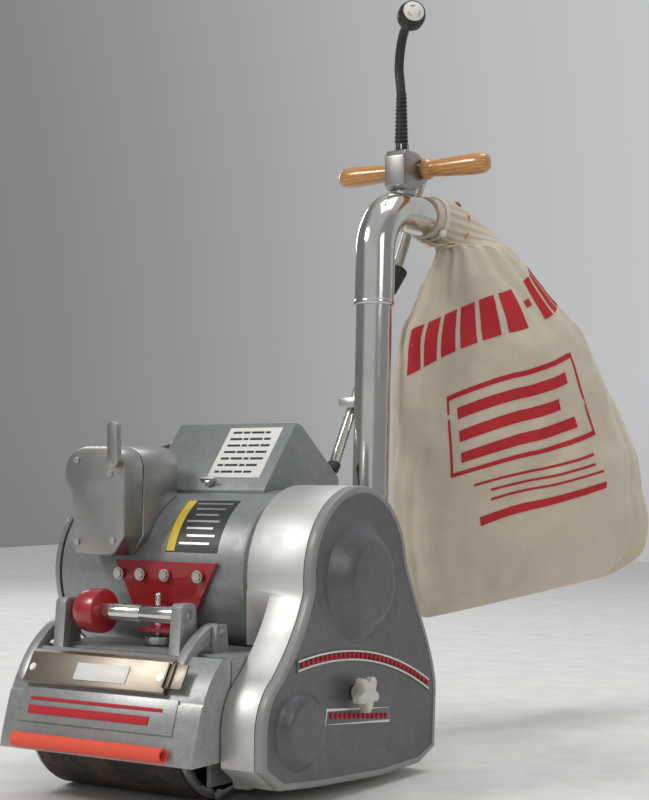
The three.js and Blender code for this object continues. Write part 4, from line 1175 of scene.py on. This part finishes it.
# ------------------------------------------------------------------ belt guard
@dataclass
class Guard:
    """The belt guard: brushed band, hammered cover with two domes, raised strips and the star knob."""

    face: float = 198.0
    depth: float = 12.0
    top: tuple[float, float, float] = (127, 252, 106)
    nose: tuple[float, float, float] = (2, 88, 75)
    knob: Pair = (110.6, 117.7)

    def outline(self, inset: float) -> list[Pair]:
        """The guard's outline, set in, with the same number of points each time."""
        top, nose = self.top[2] - inset, self.nose[2] - inset

        def arc(c: tuple, r: float, a0: float, a1: float, n: int) -> list[Pair]:
            """Points along an arc, with angles in degrees."""
            steps = (math.radians(a0 + (a1 - a0) * k / n) for k in range(n + 1))
            return [(c[0] + r * math.cos(a), c[1] + r * math.sin(a)) for a in steps]

        def quad(p: Pair, q: Pair, r: Pair, n: int) -> list[Pair]:
            """Points along a quadratic curve."""
            return [tuple((1 - t) ** 2 * p[i] + 2 * t * (1 - t) * q[i] + t * t * r[i] for i in (0,
                1))
                    for t in (k / n for k in range(1, n))]

        first = arc(self.nose, nose, 180, 124, 16)
        second = arc(self.top, top, 186, 22, 48)
        e = inset
        return [
            (-73 + e, 52 + e * 0.4), *first, *quad(first[-1], (6 + e, 196 - e * 0.4), second[0],
                14), *second,
            (234 - e, 257), (270 - e, 190), *quad((270 - e, 190), (304 - e, 132), (304 - e, 100),
                12), (304 - e, 100),
            (300 - e, 29 + e * 0.6), (262 - e * 0.4, 14 + e), (170, 12 + e), (34, 20 + e),
                (-38 + e * 0.4, 27 + e)]

    def cover(self) -> None:
        """The cover: a rolled rim round a flat field, with two stepped domes; the rim is the same paint made lighter,
        a painted highlight.
        """
        back = self.face - self.depth + 0.2
        rings = ((5, self.face - 4), (5, back), (0.3, back), (0.1, back + 0.6),
            (0.1, self.face - 4), (0.6, self.face - 2),
                 (1.8, self.face - 0.6), (3.6, self.face), (6.2, self.face), (8.0, self.face - 0.6),
                 (9.0, self.face - 1.4), (10.6, self.face - 1.6))
        bm = bmesh.new()
        loops = [[bm.verts.new(at(x, *p)) for p in self.outline(inset)] for inset, x in rings]
        count = len(loops[0])
        for low, high in zip(loops, loops[1:]):
            for k in range(count):
                j = (k + 1) % count
                bm.faces.new((low[k], low[j], high[j], high[k]))
        bm.faces.new(loops[-1])
        bm.faces.new(loops[0][::-1])
        # The rim's faces take the lighter second material: a painted highlight on the rolled edge, not a different
        # paint.
        rim = range(count * 3, count * 9)
        bm.faces.ensure_lookup_table()
        for index in rim:
            bm.faces[index].material_index = 1
        plate = from_bmesh("cover_plate", bm)
        plate.data.materials.append(DARK_HAMMERED.material())
        plate.data.materials.append(RIM_PAINTED_HIGHLIGHT.material())
        plate.data.shade_smooth()
        plate.data.set_sharp_from_angle(angle=math.radians(35))
        stand_for(plate, "guard_cover", "guard_cover")
        f = self.face - 1.8
        for name, centre, base, flat, tall in (
            ("upper_dome", (125.6, 246), 71, 44, 19.6), ("drum_dome", (0, 88), 45, 33, 11.4),
        ):
            slope = base - flat
            dome = lathe(name, [
                (base + 2, f - 1), (base + 0.8, f + 0.3), (base - slope * 0.10, f + tall * 0.10),
                (base - slope * 0.26, f + tall * 0.32), (flat + slope * 0.42, f + tall * 0.66),
                (flat + slope * 0.2, f + tall * 0.88), (flat + slope * 0.05, f + tall * 0.975),
                    (flat - 3, f + tall),
                (0, f + tall), ], centre, Axis.X, 96)
            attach(finished(dome, DARK_HAMMERED, 0, 32), "guard_cover")

    def strips(self) -> None:
        """Two raised strips: an arc above and a straight one below, dark with white lines along their edges."""
        def arc(radius: float, y0: float, y1: float) -> list[Pair]:
            """Points along the upper strip's arc."""
            steps = [y0 + (y1 - y0) * k / 48 for k in range(49)]
            return [(y, -319 + math.sqrt(radius**2 - (y - 60) ** 2)) for y in steps]

        f = self.face - 1.7
        for name, wide, lift, finish, ends in (
            ("upper_strip_edge", (490, 476), 1.2, DARK_HAMMERED, (-8, 286)),
                ("upper_strip_line_top", (489, 487), 2.0, WHITE, (-6, 284)),
            ("upper_strip_line_foot", (479, 477), 2.0, WHITE, (-6, 284)),
        ):
            outline = arc(wide[0], *ends) + arc(wide[1], *ends)[::-1]
            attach(finished(slab(name, outline, f, f + lift), finish, 0.3, 30, 2), "guard_cover")
        corners = ((52, 106), (188, 92), (190, 74), (49, 88))
        middle = [sum(c[i] for c in corners) / 4 for i in (0, 1)]
        for name, scale, lift, finish in (("lower_strip_edge", (1.0, 1.0), 1.0, WHITE),
                ("lower_strip", (0.98, 0.80), 1.6, DARK_HAMMERED)):
            outline = [tuple(middle[i] + (c[i] - middle[i]) * scale[i] for i in (0,
                1)) for c in corners]
            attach(finished(slab(name, outline, f, f + lift), finish, 0.3, 30, 2), "guard_cover")

    def ribs(self) -> None:
        """Rows of short raised ribs along the two strips, laid out by Geometry Nodes."""
        places: list[tuple[Point, Point]] = []
        for k in range(30):
            y = 2 + 276 * k / 29
            places.append(((self.face + 0.9, y, -319 + math.sqrt(483.0**2 - (y - 60) ** 2)),
                (1, 0, 0)))
        for k in range(13):
            t = k / 12
            places.append(((self.face + 0.9, 60 + 120 * t, 97.2 - 14.2 * t), (1, 0, 0)))
        row = Fixings("cover_ribs", "guard_cover", Head.ROUND, 2.6, 1.4, PRINT)
        row.places = places
        row.build()

    def star(self) -> None:
        """The five-lobed knob: scalloped rim, domed face and a boss behind."""
        sides, x = 120, self.face
        rings = ((0.0, 8.0), (0.62, 8.0), (0.9, 8.6), (1.0, 10.5), (1.0, 18.0), (0.95, 20.6),
            (0.84, 21.9), (0.5, 22.0), (0.0, 22.0))
        bm = bmesh.new()
        loops = []
        for share, along in rings:
            loop = []
            for k in range(sides):
                a = 2 * math.pi * k / sides
                lobe = 17.6 + 4.7 * math.cos(5 * (a + math.pi / 2))
                r = max(share, 1e-3) * (lobe if share > 0.5 else 14)
                loop.append(bm.verts.new(at(x + along, self.knob[0] + r * math.cos(a),
                    self.knob[1] + r * math.sin(a))))
            loops.append(loop)
        for low, high in zip(loops, loops[1:]):
            for k in range(sides):
                j = (k + 1) % sides
                bm.faces.new((low[k], low[j], high[j], high[k]))
        bm.faces.new(loops[0])
        bm.faces.new(loops[-1])
        knob = finished(from_bmesh("star_knob_casting", bm), CREAM, 0, 40)
        stand_for(knob, "star_knob", "star_knob")
        boss = lathe("star_knob_boss", [(5.6, x + 0.5), (9, x + 0.5), (9.2, x + 2), (9.6, x + 9),
            (5.6, x + 9), (5.6, x + 0.5)],
                     self.knob, Axis.X, 40)
        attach(finished(boss, CREAM, 0, 40), "star_knob")

    def build(self) -> None:
        """Band, cover, strips and knob."""
        refined("guard_band", BRUSHED, "frame", 1.0)
        self.cover()
        self.strips()
        self.ribs()
        self.star()


# ------------------------------------------------------------------ hood
@dataclass
class Hood:
    """The lifting hood: its casting, paper bender, bumper, wrench and panel."""

    controls: Controls
    wrench: Pair = (-44, 212)
    bumper: Pair = (-128.43, 70)

    @staticmethod
    def front(z: float) -> float:
        """How far forward the face of the name panel stands at a height, in millimetres."""
        return -116.6 + (z - 89) * 0.357

    def build(self) -> None:
        """Casting, bender with folded ends, bumper tube and the wrench."""
        refined("drum_hood", HAMMERED, "hood", 1.6)
        refined("paper_bender", STAINLESS, "hood", 0.4)
        tube = hose("bumper_tube", [at(x, *self.bumper) for x in (-111, -40, 30, 106)], 8.4, 48, 8,
            2.6)
        stand_for(finished(tube, BUMPER, 0.5, 40), "hood", "bumper")
        self.controls.label("bender_label", ((-44, -104.3, 139.4), (32, -104.3, 139.4), (32, -94.1,
            157.4), (-44, -94.1, 157.4)),
                            WHITE, 0.6, "hood")
        self.controls.label("hood_panel", ((-118, -114.6, 89), (107, -114.6, 89), (107, -101.4,
            126), (-118, -101.4, 126)),
                            HAMMERED, 2.0, "hood")
        for name, x0, x1, low, high in (
            ("hood_panel_bar_top", -104, 88, 113, 116.5), ("hood_panel_bar", -104, 72, 98, 107),
        ):
            self.controls.label(name, ((x0, self.front(low), low), (x1, self.front(low), low), (x1,
                self.front(high), high),
                                       (x0, self.front(high), high)), PRINT, 1.2, "hood")
        for name, x0, x1, lift in (("bender_fold", 86.4, 88, 5.0), ("bender_tab", 88.6, 112, 2.6),
                ("bender_fold_outer", 95, 96.2, 5.6)):
            self.controls.label(name, ((x0, -104.6, 138), (x1, -104.6, 138), (x1, -89.6, 163), (x0,
                -89.6, 163)), STAINLESS, lift, "hood")
        screws = Fixings("bender_screws", "hood", Head.ROUND, 3.4, 2.0, ZINC)
        screws.places = [((x, -98.6, 149.2), (0, -0.87, 0.49)) for x in (-110,
            78)] + [((104, -99.4, 148.4), (0, -0.87, 0.49))]
        screws.build()
        barrel = lathe("wrench_barrel_turned", [
            (0, -46.6), (9.4, -46.6), (9.9, -46), (10, -45), (10, 8), (9.7, 8.6), (9.7, 9.6),
                (10, 10.2), (10, 58), (9.6, 59.4),
            (5, 60), (5, 73.8), (0, 74)], self.wrench, Axis.X, 64)
        stand_for(finished(barrel, CHROME, 0, 35), "wrench", "wrench_barrel")
        knob = lathe("wrench_knob_turned", [
            (0, -109), (4.7, -109), (5, -108.4), (5, -85), (12, -84.8), (17, -83.4), (22, -78.5),
                (25, -71.5), (25.9, -65),
            (25.9, -50), (25.2, -48), (23.6, -47.2), (0, -47.2)], self.wrench, Axis.X, 72)
        stand_for(finished(knob, RED, 0, 35), "wrench", "wrench_knob")


# ------------------------------------------------------------------ dust bag
@dataclass
class DustBag:
    """The canvas bag: one lofted cloth skin, gathered at the elbow's mouth and slack below."""

    turn: float = 48.0
    centre: Pair = (70, 690)
    rings: tuple[tuple[float, ...], ...] = (
        (60, 46, 700, -22, 0), (102, 62, 640, -8, 0), (150, 74, 567, 10, 0), (172, 82, 480, 24, 0),
        (191, 84, 395, 42, 0.03), (194, 82, 330, 46, 0.06), (192, 74, 262, 56, 0.12),
            (181, 54, 216, 58, 0.18),
        (158, 26, 192, 52, 0.2), (140, 9, 186, 47, 0.2),
    )
    rows: int = 190
    sides: int = 220
    tilt: float = 0.045
    print_lift: float = 0.6
    tie_share: float = 0.10
    eyelet_share: float = 0.19
    neck: tuple[tuple[Point, Point, Point], ...] = (
        ((0, 612, 749), (30.4, 0, 0), (0, 0, 30.4)), ((1, 628, 749), (30.6, 0, 0), (0, 1, 30.6)),
        ((5, 640, 747), (34, 5, 0), (-2, 8, 35)), ((20, 654, 738), (38, 22, 0), (-12, 22, 34)),
        ((38, 664, 722), (38, 40, 2), (-24, 32, 20)),
    )

    def __post_init__(self) -> None:
        """Works out the control frames from neck to hem."""
        turn = math.radians(self.turn)
        wide, deep = Vector((math.cos(turn), math.sin(turn), 0)), Vector((-math.sin(turn),
            math.cos(turn), 0))
        frames = [tuple(Vector(v) for v in f) for f in self.neck]
        for w, d, z, middle, rise in self.rings:
            frames.append((Vector((*self.centre, z)) + wide * middle,
                (wide + Vector((0, 0, rise))) * w, deep * d))
        self.frames = frames

    def frame_at(self, v: float) -> tuple[Vector, Vector, Vector]:
        """Centre, width and depth at a share of the length, smoothly between the controls."""
        f = self.frames
        last = len(f) - 1
        t = v * last
        k = min(int(t), last - 1)
        t -= k
        a, b, c, d = f[max(k - 1, 0)], f[k], f[k + 1], f[min(k + 2, last)]
        return tuple(
            0.5 * (2 * b[i] + (c[i] - a[i]) * t + (2 * a[i] - 5 * b[i] + 4 * c[i] - d[i]) * t * t
                   + (3 * b[i] - a[i] - 3 * c[i] + d[i]) * t**3) for i in range(3))

    def swell(self, angle: float, v: float, p: Vector) -> float:
        """How far the cloth stands out or in, in millimetres: gathers, hanging folds and lumps."""
        gather = max(0.0, 1 - abs(v - 0.30) / 0.26)
        body = min(1.0, max(0.0, (v - 0.30) / 0.15)) * min(1.0, max(0.0, (0.97 - v) / 0.1))
        drift = noise.noise(Vector((v * 3.0, math.cos(angle) * 0.8, math.sin(angle) * 0.8)))
        folds = math.cos(19 * angle + 5 * drift) * 2.6 * gather
        hang = (math.cos(7 * angle + 6 * drift + 1.3) ** 3 * 5.5 + math.cos(4 * angle + 3 * drift) * 3.5) * body
        lump = noise.noise(p * 0.012) * 8.0 * body + noise.noise(p * 0.034 + Vector((5, 1,
            3))) * 3.2 * body
        return folds + hang + lump - 3.0 * body

    def spot(self, angle: float, v: float) -> Vector:
        """A point of the cloth on the drawing, in millimetres."""
        c, w, d = self.frame_at(v)
        co, si = math.cos(angle), math.sin(angle)
        p = c + w * (math.copysign(abs(co) ** 0.86, co)) + d * (math.copysign(abs(si) ** 0.92, si))
        out = (w.normalized() * co * d.length + d.normalized() * si * w.length).normalized()
        return p + out * self.swell(angle, v, p)

    def skin(self, name: str, angles: Sequence[float], shares: Sequence[float]) -> bpy.types.Object:
        """The closed net of the cloth, with a map in metres.

        Args:
            name: the piece's name.
            angles: directions round the bag, in radians.
            shares: places along its length, from neck to hem.

        Returns:
            The cloth, capped at both ends.
        """
        grid = [[self.spot(a, v) for a in angles] for v in shares]
        bm = bmesh.new()
        cloth = bm.loops.layers.uv.new("cloth")
        verts = [[bm.verts.new(at(*p)) for p in row] for row in grid]
        across = [0.0]
        middle = grid[len(grid) // 2]
        for k in range(len(angles)):
            across.append(across[-1] + (middle[(k + 1) % len(angles)] - middle[k]).length * MM)
        down = [0.0]
        for i in range(len(shares) - 1):
            down.append(down[-1] + (grid[i + 1][0] - grid[i][0]).length * MM)
        for i in range(len(shares) - 1):
            for k in range(len(angles)):
                j = (k + 1) % len(angles)
                face = bm.faces.new((verts[i][k], verts[i][j], verts[i + 1][j], verts[i + 1][k]))
                for loop, uv in zip(face.loops, ((k, i), (k + 1, i), (k + 1, i + 1), (k, i + 1))):
                    loop[cloth].uv = (across[uv[0]], down[uv[1]])
        bm.faces.new(verts[-1])
        bm.faces.new(verts[0][::-1])
        return from_bmesh(name, bm)

    def build(self) -> None:
        """Cloth, printed blocks, two tie cords with a knot, and eyelets."""
        angles = [2 * math.pi * k / self.sides for k in range(self.sides)]
        shares = [i / (self.rows - 1) for i in range(self.rows)]
        bag = finished(self.skin("bag_cloth", angles, shares), CANVAS, 0, 60)
        stand_for(bag, "frame", "dust_bag")
        self.prints()
        tie = [at(*(self.spot(2 * math.pi * k / 40, self.tie_share))) for k in range(41)]
        for name, shift in (("tie_cord_ring", 0.0), ("tie_cord_ring_second", -4.4)):
            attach(finished(hose(name, [p + Vector((0, shift, 0)) * MM for p in tie], 2.1, 10,
                120), ROPE, 0, 60), "frame")
        knot = lathe("tie_knot", [(0, 24), (4, 25), (6, 28), (6, 31), (4, 34), (0, 35)],
            (622, 724), Axis.X, 20)
        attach(finished(knot, ROPE, 0, 60), "frame")
        eyelets = Fixings("bag_eyelets", "frame", Head.ROUND, 4.6, 1.4, BRASS)
        for k in range(8):
            a = 2 * math.pi * k / 8 + 0.3
            centre = self.frame_at(self.eyelet_share)[0]
            place = self.spot(a, self.eyelet_share)
            eyelets.places.append((tuple(place), tuple((place - centre).normalized())))
        eyelets.build()

    def prints(self) -> None:
        """Plain printed blocks in place of lettering, on the broad side that faces front."""
        blocks: list[tuple[float, float, float, float]] = []
        for k in range(10):
            start = -158 + 13.4 * k
            if k != 6:
                blocks.append((start, start + 10.2, 0.435, 0.492))
        blocks.append((-75.5, -69, 0.458, 0.468))
        left, right, top, foot = -128, -58, 0.540, 0.640
        blocks += [(left, right, top, top + 0.006), (left, right, foot - 0.006, foot),
                   (left, left + 1.4, top, foot), (right - 1.4, right, top, foot)]
        for row, (start, end) in enumerate(((-122, -66), (-122, -74), (-122, -68))):
            blocks.append((start, end, 0.558 + 0.026 * row, 0.571 + 0.026 * row))
        for row, (start, end) in enumerate(((-116, -64), (-108, -64), (-108, -60))):
            blocks.append((start, end, 0.660 + 0.015 * row, 0.664 + 0.015 * row))
        blocks.append((-114, -58, 0.712, 0.724))
        parts = []
        for a0, a1, v0, v1 in blocks:
            columns = max(3, int((a1 - a0) / 2.2))
            angles = [math.radians(a0 + (a1 - a0) * k / columns) for k in range(columns + 1)]
            parts.append(self.patch(angles, [v0 + (v1 - v0) * k / 6 for k in range(7)]))
        prints = joined("bag_prints", parts)
        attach(finished(prints, PRINT, 0, 60), "frame")

    def patch(self, angles: Sequence[float], shares: Sequence[float]) -> bpy.types.Object:
        """A small net just off the cloth, tilted as the printing is."""
        bm = bmesh.new()
        grid = []
        for v in shares:
            row = []
            for a in angles:
                share = v - self.tilt * (a + math.pi / 2)
                p = self.spot(a, share)
                across = self.spot(a + 0.01, share) - p
                down = self.spot(a, share + 0.004) - p
                row.append(bm.verts.new(at(*(p - across.cross(down).normalized() * self.print_lift))))
            grid.append(row)
        for low, high in zip(grid, grid[1:]):
            for k in range(len(angles) - 1):
                bm.faces.new((low[k], low[k + 1], high[k + 1], high[k]))
        return from_bmesh("patch", bm, outward=False)


def main() -> None:
    """Builds every sub-assembly in order."""
    Stage().build()
    SupplyCord().build()
    DustPipe().build()
    Motor().build()
    Base().build()
    Drum().build()
    controls = Controls()
    controls.build()
    Guard().build()
    Hood(controls).build()
    DustBag().build()


if __name__ == "__main__":
    main()
